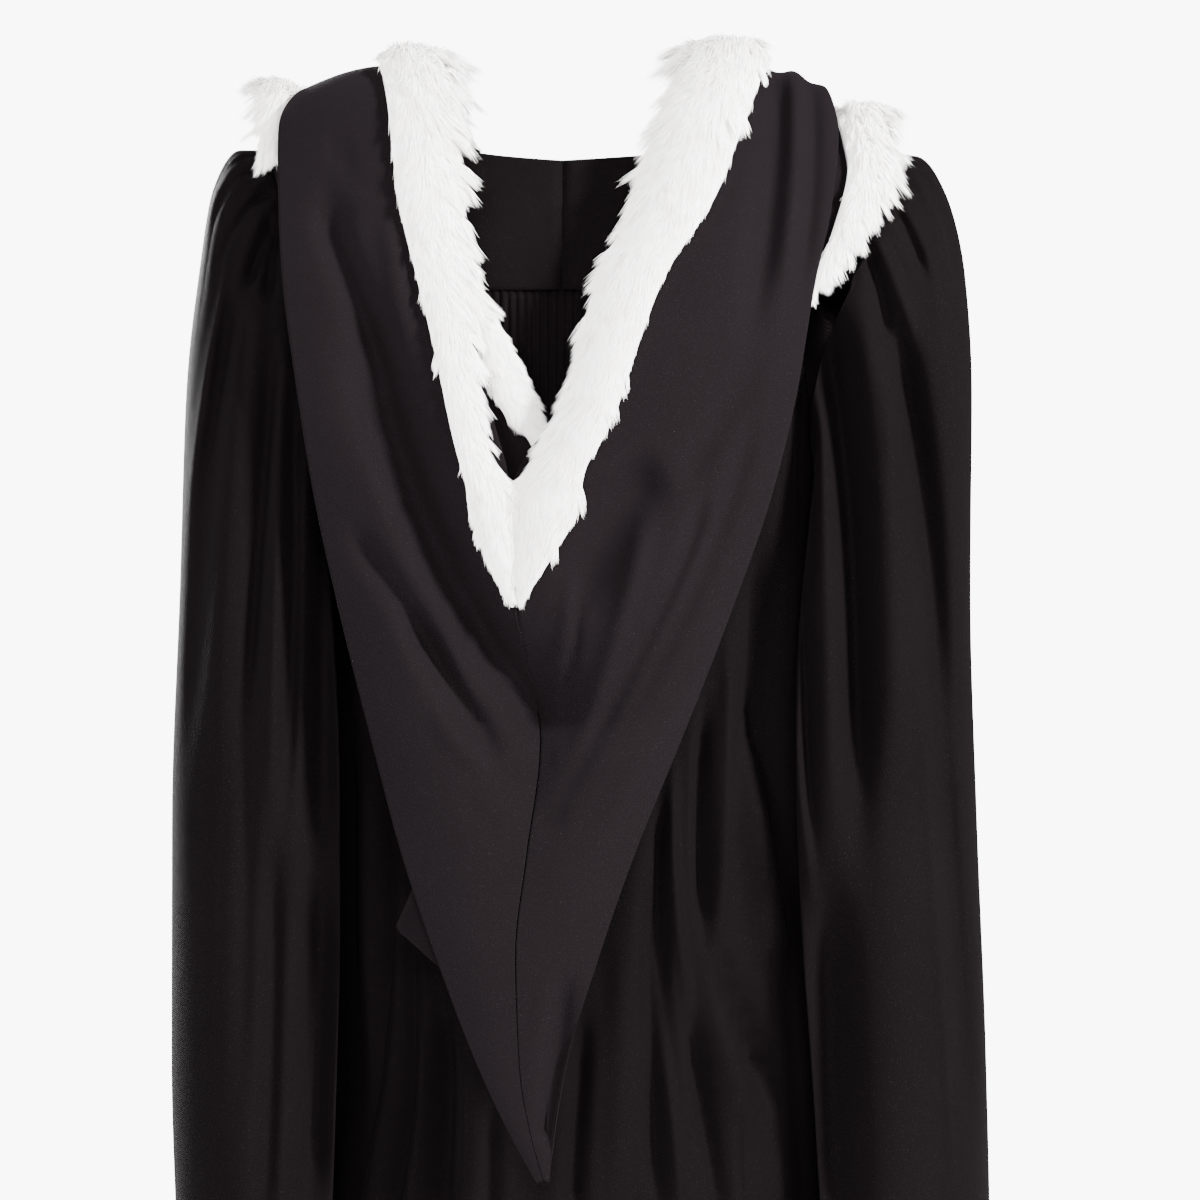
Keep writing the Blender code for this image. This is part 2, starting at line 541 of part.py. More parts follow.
def hood_points(table, across, rows, underturn=0.0, creases=()):
    """Points of a hood cloth at shares across (0 inner edge, 1 outer edge) and at row positions along it."""
    along = np.asarray(rows, float)[:, None]
    across = np.asarray(across, float)
    value = {name: read(table, name, along) for name in Row._fields}
    inner = np.stack([value["x_in"], value["y_in"], value["z_in"]], axis=-1)
    outer = np.stack([value["x_out"], value["y_out"], value["z_out"]], axis=-1)
    share = across if across.ndim == 2 else across[None, :]
    on_face = np.clip(share, -1, 1)[..., None]
    points = inner + (outer - inner) * on_face
    lean = np.radians(value["lean"])[..., None]
    facing = np.concatenate([np.zeros_like(lean), np.cos(lean), np.sin(lean)], axis=-1)
    rise = value["crown"][..., None] * np.sin(np.clip(on_face, -0.3, 1) * math.pi)
    past = np.clip(share - 1, 0, None)[..., None]
    width = np.linalg.norm(outer - inner, axis=-1, keepdims=True)
    turned = ease(along, 2.5, 7)[..., None]
    tuck = np.minimum(underturn, 0.35 * width) * (0.3 + 0.7 * turned)
    drop = UNDERTURN_DROP * tuck / UNDERTURN * turned + 0.003 * (tuck > 0)
    inward = (inner - outer) / width
    rise = rise + crease_relief(creases, points)[..., None] * np.sin(np.clip(on_face, 0, 1) * math.pi) ** 0.5
    under, tucked = np.sin(past * math.pi / 2), 1 - np.cos(past * math.pi / 2)
    return points + facing * (rise - drop * under) + inward * tuck * tucked


def edge_band(table, stations, at_outer, rows, creases=(), count=5):
    """A fur band along the inner or outer edge of a hood cloth: its under surface and its pile."""
    rows = rows[(rows >= stations[0].row) & (rows <= stations[-1].row)]
    width = read(stations, "width", rows, "row")[:, None]
    over = read(stations, "over", rows, "row")[:, None]
    pile = read(stations, "pile", rows, "row")[:, None]
    inner = np.stack([read(table, f"{axis}_in", rows) for axis in "xyz"], axis=-1)
    outer = np.stack([read(table, f"{axis}_out", rows) for axis in "xyz"], axis=-1)
    breadth = np.linalg.norm(outer - inner, axis=-1)[:, None]
    share = np.linspace(0, 1, count)[None, :]
    reach = (share * width - over) / breadth
    across = 1 - reach if at_outer else reach
    points = hood_points(table, np.clip(across, -1, 1), rows, creases=creases)
    if at_outer:
        extra = np.clip(across - 1, 0, None)[..., None] * (outer - inner)[:, None, :]
        points = points + extra
    dome = 0.35 + 0.65 * np.sin(np.linspace(0.06, 0.94, count) * math.pi)
    return points, pile * dome, rows


def fur_band(table, stations, at_outer, rows, creases=()):
    """A fur band's grid, lifted off its cloth and turned outward, and its pile at each point."""
    points, pile, rows = edge_band(table, stations, at_outer, rows, creases)
    points = facing_out(points, table, rows)
    normals = grid_normals(points)
    return points + normals * FUR_LIFT, pile


def neckband():
    """The short band that joins the hood's two front ends at the breast, a little deeper in the middle."""
    across = np.linspace(0, 1, 5)
    left = hood_points(LEFT_COWL, across, [0])[0]
    right = hood_points(RIGHT_COWL, across, [0])[0]
    left[:, 0] -= SEAM_GAP
    right[:, 0] += SEAM_GAP
    share = np.linspace(0, 1, 9)[None, :, None]
    points = left[:, None] + (right - left)[:, None] * share
    sag = np.sin(share[..., 0] * math.pi)
    points[..., 2] -= 0.010 * sag
    points[..., 1] -= 0.002 * sag
    return points


def outward(points):
    """A grid of the gown's body, turned so that its normals face away from the wearer."""
    return turned_to(points, points * np.array([1, 1, 0]))


def facing_out(points, table, rows):
    """A grid of hood cloth, turned so that its normals face the way its rows lean."""
    lean = np.radians(read(table, "lean", rows))
    facing = np.stack([np.zeros_like(lean), np.cos(lean), np.sin(lean)], axis=-1)[:, None, :]
    return turned_to(points, facing)


def main():
    for thing in list(bpy.data.objects):
        bpy.data.objects.remove(thing)
    gown = bpy.data.collections.new("graduation_gown")
    bpy.context.scene.collection.children.link(gown)
    cloth = make_material("black_cloth", (0.022, 0.020, 0.024), 0.75)
    hood_cloth = make_material("hood_cloth", (0.030, 0.027, 0.031), 0.62)
    fur = make_material("white_fur", (0.86, 0.84, 0.83), 0.90)
    cloth_object("back_panel", outward(back_panel()), gown, cloth)
    for name, side in (("left", 1), ("right", -1)):
        left = side > 0
        cloth_object(f"yoke_{name}", outward(yoke_half(side)), gown, cloth)
        cloth_object(f"front_{name}", outward(front_panel(side)), gown, cloth)
        sleeve = sleeve_points(LEFT_SLEEVE if left else RIGHT_SLEEVE, SLEEVE_FOLDS[name], side, SLEEVE_COLUMNS)
        cloth_object(f"sleeve_{name}", sleeve if left else sleeve[:, ::-1], gown, cloth, ring=True)
        cowl = LEFT_COWL if left else RIGHT_COWL
        creases = COWL_CREASES[name]
        across = np.concatenate([np.linspace(0, 1, 10), [1.45, 2.0]])
        rows = np.concatenate([np.arange(0, 12, 0.5), np.arange(12, len(cowl))])
        points = hood_points(cowl, across, rows, UNDERTURN, creases)
        cloth_object(f"hood_cowl_{name}", facing_out(points, cowl, rows), gown, hood_cloth)
        cape = LEFT_CAPE if left else RIGHT_CAPE
        cape_rows = np.concatenate([np.arange(0, 9, 0.5), np.arange(9, len(cape))])
        points = hood_points(cape, np.linspace(0, 1, 7), cape_rows)
        cloth_object(f"hood_cape_{name}", facing_out(points, cape, cape_rows), gown, hood_cloth)
        bands = (
            (f"fur_v_{name}", cowl, V_FUR_LEFT if left else V_FUR_RIGHT, False, rows, creases),
            (f"fur_inner_{name}", cape, INNER_FUR_LEFT if left else INNER_FUR_RIGHT, False, cape_rows, ()),
            (f"fur_cape_{name}", cape, CAPE_FUR_LEFT if left else CAPE_FUR_RIGHT, True, cape_rows, ()),
        )
        for band, table, stations, at_outer, stops, folds in bands:
            points, pile = fur_band(table, stations, at_outer, stops, folds)
            cloth_object(band, points, gown, fur, float(pile.max()), out=1, pile=pile / pile.max())
    cloth_object("hood_neckband", turned_to(neckband(), np.array([0, -1, 0])), gown, hood_cloth)


main()
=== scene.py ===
import math
from collections import namedtuple

import bpy
import numpy as np
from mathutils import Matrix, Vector, kdtree


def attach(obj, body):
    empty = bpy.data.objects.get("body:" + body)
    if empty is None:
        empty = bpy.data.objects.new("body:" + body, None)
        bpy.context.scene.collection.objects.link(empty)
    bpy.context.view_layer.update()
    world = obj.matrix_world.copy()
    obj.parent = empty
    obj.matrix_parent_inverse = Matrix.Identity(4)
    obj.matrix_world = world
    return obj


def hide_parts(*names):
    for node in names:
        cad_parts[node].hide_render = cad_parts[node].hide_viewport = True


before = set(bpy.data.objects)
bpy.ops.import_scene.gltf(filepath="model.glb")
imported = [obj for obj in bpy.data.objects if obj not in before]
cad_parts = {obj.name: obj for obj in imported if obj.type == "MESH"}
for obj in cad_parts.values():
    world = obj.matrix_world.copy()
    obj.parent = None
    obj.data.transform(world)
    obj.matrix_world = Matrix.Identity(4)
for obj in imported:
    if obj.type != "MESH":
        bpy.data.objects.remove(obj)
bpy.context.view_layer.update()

bl_info = {
    "name": "Graduation gown",
    "version": (1, 0, 0),
    "blender": (4, 5, 0),
    "location": "3D View > Sidebar > Gown",
    "description": "Builds a black academic gown with its fur-edged hood over the imported solids",
    "category": "Add Mesh",
}

# Metres, +Z up. The wearer faces -Y, so the back that shows most is +Y and the wearer's left is +X.
# Angles go round the wearer from the centre back, positive towards the wearer's left.

# Sizes of the cut, the same as the solids'
YOKE_SEAM_Z = -0.102
HEM_Z = -1.220
UNDERARM_DROP = 0.150
SHOULDER_RISE = 0.096
ARMHOLE_HALF_ANGLE = math.radians(33)
FRONT_EDGE_X = 0.078
SIDE_SEAM_GAP = math.radians(0.02)
SIDE_TUCK = math.radians(0.5)
SEAM_GAP = 0.0003
GATHERS_PER_SIDE = 29
SQUARENESS = 2.4
WRAP_BACK = 0.075
WRAP_FRONT = 0.030
WRAP_CLEARANCE = 0.016
SLEEVE_GATHERS = 24
SEAM_SHIFT = 0.010
POCKET_Z = -0.432
POCKET_DEPTH = 0.022
HAIRS_PER_TUFT = 60
FLOOR_Z = -1.48
FLOOR_RADIUS = 3.8
LAP = 0.0015
LEFT_LAP = 0.016
RIGHT_LAP = 0.040
LAP_CLEARANCE = 0.007
UNDERTURN = 0.020
UNDERTURN_DROP = 0.010

Level = namedtuple("Level", "z half_width back front")
FORM = [
    Level(-1.220, 0.234, 0.170, 0.172),
    Level(-1.020, 0.212, 0.156, 0.160),
    Level(-0.800, 0.203, 0.141, 0.147),
    Level(-0.550, 0.202, 0.127, 0.137),
    Level(-0.350, 0.202, 0.120, 0.131),
    Level(-0.200, 0.204, 0.118, 0.126),
    Level(-0.102, 0.208, 0.111, 0.112),
    Level(-0.060, 0.213, 0.100, 0.098),
    Level(-0.030, 0.214, 0.090, 0.086),
    Level(-0.010, 0.208, 0.082, 0.077),
    Level(0.005, 0.186, 0.075, 0.070),
    Level(0.020, 0.148, 0.066, 0.062),
    Level(0.035, 0.112, 0.058, 0.055),
    Level(0.050, 0.084, 0.052, 0.050),
]

Neck = namedtuple("Neck", "degrees z")
NECKLINE = [
    Neck(0, 0.000),
    Neck(22, 0.008),
    Neck(35, 0.022),
    Neck(50, 0.034),
    Neck(70, 0.042),
    Neck(90, 0.0450),
    Neck(110, 0.042),
    Neck(130, 0.035),
    Neck(150, 0.022),
]

# Sleeve rings: the outer and inner points of each and its half depth, from the armhole down
Ring = namedtuple("Ring", "x_out z_out x_in z_in half_depth")
LEFT_SLEEVE = [
    Ring(0.240, 0.016, 0.212, -0.266, 0.086),
    Ring(0.267, 0.016, 0.214, -0.276, 0.090),
    Ring(0.288, -0.014, 0.215, -0.300, 0.096),
    Ring(0.300, -0.082, 0.2105, -0.345, 0.104),
    Ring(0.310, -0.175, 0.2085, -0.410, 0.114),
    Ring(0.315, -0.335, 0.2085, -0.500, 0.126),
    Ring(0.321, -0.515, 0.2090, -0.630, 0.138),
    Ring(0.321, -0.700, 0.2115, -0.770, 0.148),
    Ring(0.316, -0.860, 0.2180, -0.890, 0.156),
    Ring(0.313, -0.985, 0.2240, -0.985, 0.160),
]
RIGHT_SLEEVE = [
    Ring(0.242, 0.014, 0.212, -0.266, 0.086),
    Ring(0.272, 0.011, 0.214, -0.276, 0.090),
    Ring(0.294, -0.018, 0.215, -0.300, 0.096),
    Ring(0.310, -0.084, 0.2105, -0.345, 0.104),
    Ring(0.3155, -0.180, 0.2085, -0.410, 0.114),
    Ring(0.314, -0.335, 0.2085, -0.500, 0.126),
    Ring(0.319, -0.515, 0.2090, -0.630, 0.138),
    Ring(0.326, -0.700, 0.2115, -0.770, 0.148),
    Ring(0.329, -0.860, 0.2180, -0.890, 0.156),
    Ring(0.329, -0.985, 0.2240, -0.985, 0.160),
]

# Hood cloth, from its front end over the shoulder and down the back. Inner is the neck or centre seam side.
# Lean is where the cloth faces: 0 behind, 90 up, 180 in front. Crown is how far the middle stands out.
Row = namedtuple("Row", "x_in y_in z_in x_out y_out z_out lean crown")
LEFT_COWL = [
    Row(0.0145, -0.142, -0.118, 0.046, -0.139, -0.150, 180, 0.001),
    Row(0.050, -0.136, -0.068, 0.102, -0.132, -0.108, 170, 0.004),
    Row(0.088, -0.094, 0.010, 0.166, -0.092, -0.026, 150, 0.008),
    Row(0.108, -0.042, 0.062, 0.178, -0.043, 0.057, 115, 0.008),
    Row(0.112, 0.010, 0.078, 0.211, 0.014, 0.064, 90, 0.010),
    Row(0.104, 0.074, 0.044, 0.232, 0.070, 0.028, 45, 0.012),
    Row(0.094, 0.122, -0.040, 0.229, 0.108, -0.050, 15, 0.010),
    Row(0.085, 0.136, -0.096, 0.225, 0.122, -0.100, 5, 0.010),
    Row(0.066, 0.151, -0.190, 0.212, 0.136, -0.190, 0, 0.012),
    Row(0.0485, 0.160, -0.262, 0.200, 0.141, -0.262, 0, 0.013),
    Row(0.0445, 0.164, -0.348, 0.181, 0.146, -0.348, 0, 0.014),
    Row(0.0265, 0.158, -0.450, 0.155, 0.153, -0.450, 0, 0.018),
    Row(0.0365, 0.172, -0.535, 0.132, 0.161, -0.535, 0, 0.008),
    Row(0.0450, 0.177, -0.612, 0.106, 0.168, -0.612, 0, 0.004),
    Row(0.0420, 0.179, -0.697, 0.073, 0.174, -0.697, 0, 0.002),
    Row(0.0325, 0.180, -0.751, 0.047, 0.178, -0.751, 0, 0.001),
    Row(0.0238, 0.180, -0.782, 0.0285, 0.179, -0.784, 0, 0.000),
]
RIGHT_COWL = [
    Row(-0.0145, -0.142, -0.118, -0.046, -0.139, -0.150, 180, 0.001),
    Row(-0.050, -0.136, -0.068, -0.102, -0.132, -0.108, 170, 0.004),
    Row(-0.086, -0.094, 0.012, -0.156, -0.092, -0.014, 150, 0.008),
    Row(-0.100, -0.042, 0.066, -0.182, -0.040, 0.056, 115, 0.008),
    Row(-0.100, 0.010, 0.084, -0.196, 0.014, 0.066, 90, 0.010),
    Row(-0.086, 0.074, 0.048, -0.206, 0.066, 0.026, 45, 0.010),
    Row(-0.058, 0.124, -0.030, -0.198, 0.112, -0.040, 15, 0.010),
    Row(-0.026, 0.142, -0.096, -0.185, 0.126, -0.098, 5, 0.012),
    Row(0.008, 0.156, -0.190, -0.169, 0.138, -0.190, 0, 0.014),
    Row(0.0476, 0.160, -0.262, -0.151, 0.143, -0.262, 0, 0.015),
    Row(0.0436, 0.164, -0.348, -0.121, 0.149, -0.348, 0, 0.015),
    Row(0.0258, 0.158, -0.450, -0.081, 0.156, -0.450, 0, 0.018),
    Row(0.0358, 0.172, -0.535, -0.046, 0.164, -0.535, 0, 0.008),
    Row(0.0443, 0.177, -0.612, -0.019, 0.170, -0.612, 0, 0.004),
    Row(0.0413, 0.179, -0.697, 0.007, 0.175, -0.697, 0, 0.002),
    Row(0.0318, 0.180, -0.751, 0.0160, 0.178, -0.751, 0, 0.001),
    Row(0.0230, 0.180, -0.782, 0.0190, 0.179, -0.784, 0, 0.000),
]
LEFT_CAPE = [
    Row(0.0145, -0.1394, -0.119, 0.042, -0.1362, -0.147, 180, 0.001),
    Row(0.052, -0.124, -0.070, 0.096, -0.118, -0.104, 170, 0.002),
    Row(0.092, -0.080, -0.002, 0.180, -0.080, -0.022, 150, 0.004),
    Row(0.108, -0.036, 0.0331, 0.243, -0.030, 0.055, 115, 0.001),
    Row(0.112, 0.010, 0.0401, 0.244, 0.010, 0.054, 90, 0.002),
    Row(0.106, 0.066, 0.018, 0.236, 0.060, -0.008, 45, 0.002),
    Row(0.094, 0.106, -0.050, 0.214, 0.096, -0.062, 15, 0.003),
    Row(0.078, 0.120, -0.100, 0.194, 0.108, -0.122, 5, 0.003),
    Row(0.048, 0.130, -0.168, 0.180, 0.116, -0.190, 0, 0.003),
    Row(0.0209, 0.136, -0.232, 0.172, 0.118, -0.262, 0, 0.003),
    Row(0.0209, 0.137, -0.348, 0.158, 0.122, -0.348, 0, 0.003),
    Row(0.0209, 0.137, -0.450, 0.134, 0.129, -0.450, 0, 0.002),
    Row(0.0209, 0.149, -0.535, 0.116, 0.142, -0.545, 0, 0.002),
    Row(0.0209, 0.156, -0.600, 0.137, 0.151, -0.593, 0, 0.001),
    Row(0.0209, 0.159, -0.640, 0.104, 0.156, -0.622, 0, 0.001),
]
RIGHT_CAPE = [
    Row(-0.0145, -0.1394, -0.119, -0.042, -0.1362, -0.147, 180, 0.001),
    Row(-0.052, -0.124, -0.070, -0.096, -0.118, -0.104, 170, 0.002),
    Row(-0.090, -0.080, 0.000, -0.180, -0.080, -0.032, 150, 0.003),
    Row(-0.102, -0.036, 0.0366, -0.228, -0.034, 0.038, 115, 0.003),
    Row(-0.104, 0.010, 0.0436, -0.237, 0.010, 0.034, 90, 0.003),
    Row(-0.094, 0.068, 0.022, -0.236, 0.062, -0.006, 45, 0.003),
    Row(-0.066, 0.108, -0.050, -0.214, 0.096, -0.060, 15, 0.003),
    Row(-0.040, 0.122, -0.100, -0.176, 0.110, -0.108, 5, 0.003),
    Row(-0.010, 0.132, -0.168, -0.142, 0.120, -0.180, 0, 0.003),
    Row(0.0197, 0.136, -0.232, -0.120, 0.124, -0.250, 0, 0.003),
    Row(0.0197, 0.137, -0.348, -0.090, 0.128, -0.348, 0, 0.003),
    Row(0.0197, 0.137, -0.450, -0.056, 0.135, -0.450, 0, 0.002),
    Row(0.0197, 0.149, -0.535, -0.026, 0.147, -0.535, 0, 0.002),
    Row(0.0197, 0.156, -0.600, 0.000, 0.155, -0.596, 0, 0.001),
    Row(0.0197, 0.159, -0.640, 0.004, 0.158, -0.632, 0, 0.001),
]

# Fur bands along the edges of the hood cloth: a row of that cloth, the width, how far it passes the edge, the pile
Fur = namedtuple("Fur", "row width over pile")
V_FUR_LEFT = [
    Fur(0.5, 0.020, 0.004, 0.008),
    Fur(2.0, 0.052, 0.008, 0.013),
    Fur(4.0, 0.060, 0.010, 0.023),
    Fur(5.0, 0.059, 0.010, 0.020),
    Fur(6.0, 0.057, 0.010, 0.016),
    Fur(7.0, 0.050, 0.008, 0.015),
    Fur(8.0, 0.036, -0.003, 0.014),
    Fur(8.6, 0.033, -0.008, 0.014),
    Fur(9.0, 0.038, -0.001, 0.014),
    Fur(9.5, 0.028, -0.001, 0.012),
    Fur(10.0, 0.003, -0.001, 0.006),
]
V_FUR_RIGHT = [
    Fur(0.5, 0.020, 0.004, 0.008),
    Fur(2.0, 0.054, 0.008, 0.013),
    Fur(4.0, 0.066, 0.010, 0.024),
    Fur(5.0, 0.069, 0.011, 0.021),
    Fur(6.0, 0.068, 0.011, 0.017),
    Fur(7.0, 0.057, 0.008, 0.016),
    Fur(8.0, 0.050, 0.001, 0.015),
    Fur(8.6, 0.050, -0.007, 0.014),
    Fur(9.0, 0.058, -0.001, 0.014),
    Fur(9.5, 0.038, -0.001, 0.012),
    Fur(10.0, 0.004, -0.001, 0.006),
]
INNER_FUR_LEFT = [
    Fur(5.5, 0.018, -0.002, 0.007),
    Fur(6.5, 0.032, 0.006, 0.010),
    Fur(8.0, 0.040, 0.011, 0.011),
    Fur(8.5, 0.034, 0.006, 0.010),
    Fur(9.0, 0.008, 0.000, 0.006),
]
INNER_FUR_RIGHT = [
    Fur(5.5, 0.018, -0.002, 0.007),
    Fur(6.5, 0.028, 0.000, 0.009),
    Fur(8.0, 0.034, 0.004, 0.010),
    Fur(8.5, 0.028, 0.001, 0.009),
    Fur(9.0, 0.008, -0.001, 0.006),
]
CAPE_FUR_LEFT = [
    Fur(2.5, 0.030, 0.004, 0.009),
    Fur(3.0, 0.060, 0.008, 0.018),
    Fur(3.5, 0.052, 0.008, 0.020),
    Fur(4.0, 0.036, 0.008, 0.018),
    Fur(4.5, 0.020, 0.007, 0.013),
    Fur(4.9, 0.012, 0.006, 0.010),
]
CAPE_FUR_RIGHT = [
    Fur(2.5, 0.030, 0.004, 0.009),
    Fur(3.0, 0.048, 0.008, 0.017),
    Fur(4.0, 0.046, 0.010, 0.019),
    Fur(5.0, 0.040, 0.010, 0.016),
    Fur(6.0, 0.029, 0.008, 0.013),
    Fur(7.0, 0.010, 0.004, 0.007),
]

# Folds as curves through three points seen from behind, with a trough where depth is negative
Crease = namedtuple("Crease", "x_top z_top x_mid z_mid x_low z_low half_width depth")
HOOD_LEFT = [
    Crease(0.195, -0.035, 0.176, -0.089, 0.137, -0.189, 0.0115, -0.015),
    Crease(0.166, -0.110, 0.110, -0.293, 0.031, -0.426, 0.0225, -0.034),
    Crease(0.087, -0.339, 0.053, -0.389, 0.024, -0.443, 0.009, -0.009),
    Crease(0.170, -0.198, 0.120, -0.318, 0.066, -0.378, 0.011, 0.006),
    Crease(0.176, -0.287, 0.132, -0.343, 0.087, -0.418, 0.009, -0.011),
    Crease(0.132, -0.347, 0.091, -0.414, 0.047, -0.478, 0.01, -0.015),
    Crease(0.112, -0.426, 0.078, -0.455, 0.045, -0.468, 0.008, 0.006),
    Crease(0.145, -0.048, 0.137, -0.098, 0.127, -0.148, 0.009, 0.005),
    Crease(0.195, 0.002, 0.182, -0.002, 0.170, -0.015, 0.006, -0.004),
    Crease(0.199, -0.027, 0.182, -0.040, 0.166, -0.052, 0.007, -0.003),
    Crease(0.087, -0.493, 0.070, -0.509, 0.053, -0.522, 0.006, -0.002),
    Crease(0.062, -0.389, 0.049, -0.405, 0.043, -0.430, 0.006, 0.004),
]
HOOD_RIGHT = [
    Crease(-0.160, 0.106, -0.152, -0.019, -0.133, -0.152, 0.011, -0.011),
    Crease(-0.186, 0.089, -0.184, -0.010, -0.172, -0.110, 0.0075, -0.009),
    Crease(-0.173, 0.089, -0.170, -0.015, -0.158, -0.110, 0.008, 0.005),
    Crease(-0.148, -0.152, -0.110, -0.210, -0.079, -0.264, 0.012, -0.005),
    Crease(-0.069, -0.239, -0.027, -0.289, 0.002, -0.364, 0.021, -0.016),
    Crease(-0.100, -0.260, -0.067, -0.347, 0.019, -0.507, 0.0065, -0.009),
    Crease(-0.056, -0.272, -0.035, -0.360, 0.002, -0.468, 0.008, 0.007),
    Crease(-0.137, -0.193, -0.098, -0.318, -0.019, -0.464, 0.009, -0.006),
    Crease(-0.119, -0.347, -0.077, -0.430, -0.006, -0.539, 0.01, 0.004),
    Crease(0.002, -0.318, 0.008, -0.372, 0.019, -0.414, 0.006, 0.004),
    Crease(-0.004, -0.339, 0.002, -0.385, 0.014, -0.422, 0.004, -0.004),
    Crease(0.029, -0.464, 0.023, -0.465, 0.014, -0.463, 0.003, -0.0025),
    Crease(0.029, -0.506, 0.017, -0.510, 0.004, -0.503, 0.004, -0.004),
    Crease(0.039, -0.655, 0.029, -0.663, 0.014, -0.659, 0.005, -0.002),
    Crease(0.031, -0.742, 0.023, -0.744, 0.017, -0.730, 0.004, -0.003),
    Crease(0.006, -0.622, 0.013, -0.692, 0.019, -0.763, 0.01, -0.01),
    Crease(0.023, -0.223, -0.010, -0.247, -0.052, -0.218, 0.008, 0.003),
]
SLEEVE_LEFT = [
    Crease(0.262, -0.101, 0.283, -0.236, 0.305, -0.498, 0.009, -0.013),
    Crease(0.269, -0.067, 0.288, -0.176, 0.305, -0.296, 0.0045, 0.007),
    Crease(0.244, -0.107, 0.267, -0.271, 0.276, -0.518, 0.013, 0.008),
    Crease(0.254, -0.123, 0.257, -0.157, 0.260, -0.197, 0.005, -0.008),
    Crease(0.233, -0.137, 0.244, -0.288, 0.253, -0.445, 0.0065, -0.012),
    Crease(0.225, -0.129, 0.229, -0.305, 0.233, -0.507, 0.007, 0.007),
    Crease(0.221, -0.167, 0.218, -0.314, 0.223, -0.527, 0.0065, -0.012),
    Crease(0.210, -0.222, 0.208, -0.368, 0.211, -0.514, 0.006, 0.005),
    Crease(0.231, -0.515, 0.233, -0.683, 0.239, -0.844, 0.01, -0.016),
    Crease(0.198, -0.231, 0.196, -0.389, 0.196, -0.563, 0.014, -0.03),
    Crease(0.196, -0.534, 0.201, -0.680, 0.206, -0.839, 0.016, -0.036),
    Crease(0.281, -0.509, 0.281, -0.689, 0.283, -0.851, 0.022, 0.007),
    Crease(0.255, -0.390, 0.252, -0.559, 0.255, -0.728, 0.008, -0.006),
    Crease(0.211, -0.514, 0.211, -0.660, 0.212, -0.765, 0.005, 0.004),
    Crease(0.237, -0.023, 0.262, -0.042, 0.282, -0.087, 0.004, -0.008),
    Crease(0.234, -0.040, 0.246, -0.069, 0.255, -0.106, 0.005, -0.01),
    Crease(0.244, -0.004, 0.272, -0.018, 0.288, -0.055, 0.0035, -0.006),
    Crease(0.251, 0.008, 0.272, 0.001, 0.285, -0.021, 0.003, -0.004),
    Crease(0.234, -0.011, 0.258, -0.030, 0.277, -0.068, 0.004, 0.005),
    Crease(0.233, -0.032, 0.252, -0.060, 0.266, -0.105, 0.005, 0.006),
    Crease(0.232, -0.049, 0.236, -0.078, 0.239, -0.112, 0.005, -0.011),
]
SLEEVE_RIGHT = [
    Crease(-0.173, -0.139, -0.172, -0.281, -0.168, -0.414, 0.006, 0.006),
    Crease(-0.167, -0.405, -0.173, -0.493, -0.182, -0.568, 0.005, 0.006),
    Crease(-0.177, -0.206, -0.177, -0.368, -0.183, -0.539, 0.004, -0.011),
    Crease(-0.186, -0.148, -0.193, -0.306, -0.196, -0.547, 0.009, 0.006),
    Crease(-0.193, -0.114, -0.214, -0.289, -0.218, -0.548, 0.0115, -0.03),
    Crease(-0.196, -0.555, -0.200, -0.713, -0.207, -0.839, 0.016, -0.028),
    Crease(-0.214, -0.076, -0.242, -0.263, -0.248, -0.504, 0.015, 0.012),
    Crease(-0.247, -0.491, -0.249, -0.643, -0.252, -0.846, 0.026, 0.008),
    Crease(-0.223, -0.067, -0.237, -0.103, -0.243, -0.149, 0.0045, -0.011),
    Crease(-0.242, -0.103, -0.272, -0.271, -0.284, -0.475, 0.0125, -0.03),
    Crease(-0.282, -0.424, -0.296, -0.596, -0.305, -0.756, 0.011, -0.022),
    Crease(-0.265, -0.407, -0.277, -0.582, -0.293, -0.818, 0.003, 0.003),
    Crease(-0.270, -0.029, -0.294, -0.176, -0.308, -0.390, 0.01, 0.006),
    Crease(-0.246, -0.029, -0.261, -0.059, -0.273, -0.092, 0.0045, -0.009),
    Crease(-0.265, 0.003, -0.289, -0.035, -0.301, -0.090, 0.004, -0.01),
    Crease(-0.284, -0.010, -0.300, -0.056, -0.308, -0.124, 0.003, -0.005),
    Crease(-0.261, -0.004, -0.282, -0.044, -0.293, -0.112, 0.0045, 0.005),
    Crease(-0.231, -0.049, -0.247, -0.090, -0.266, -0.148, 0.0065, 0.007),
    Crease(-0.238, -0.150, -0.243, -0.204, -0.245, -0.242, 0.005, 0.004),
]
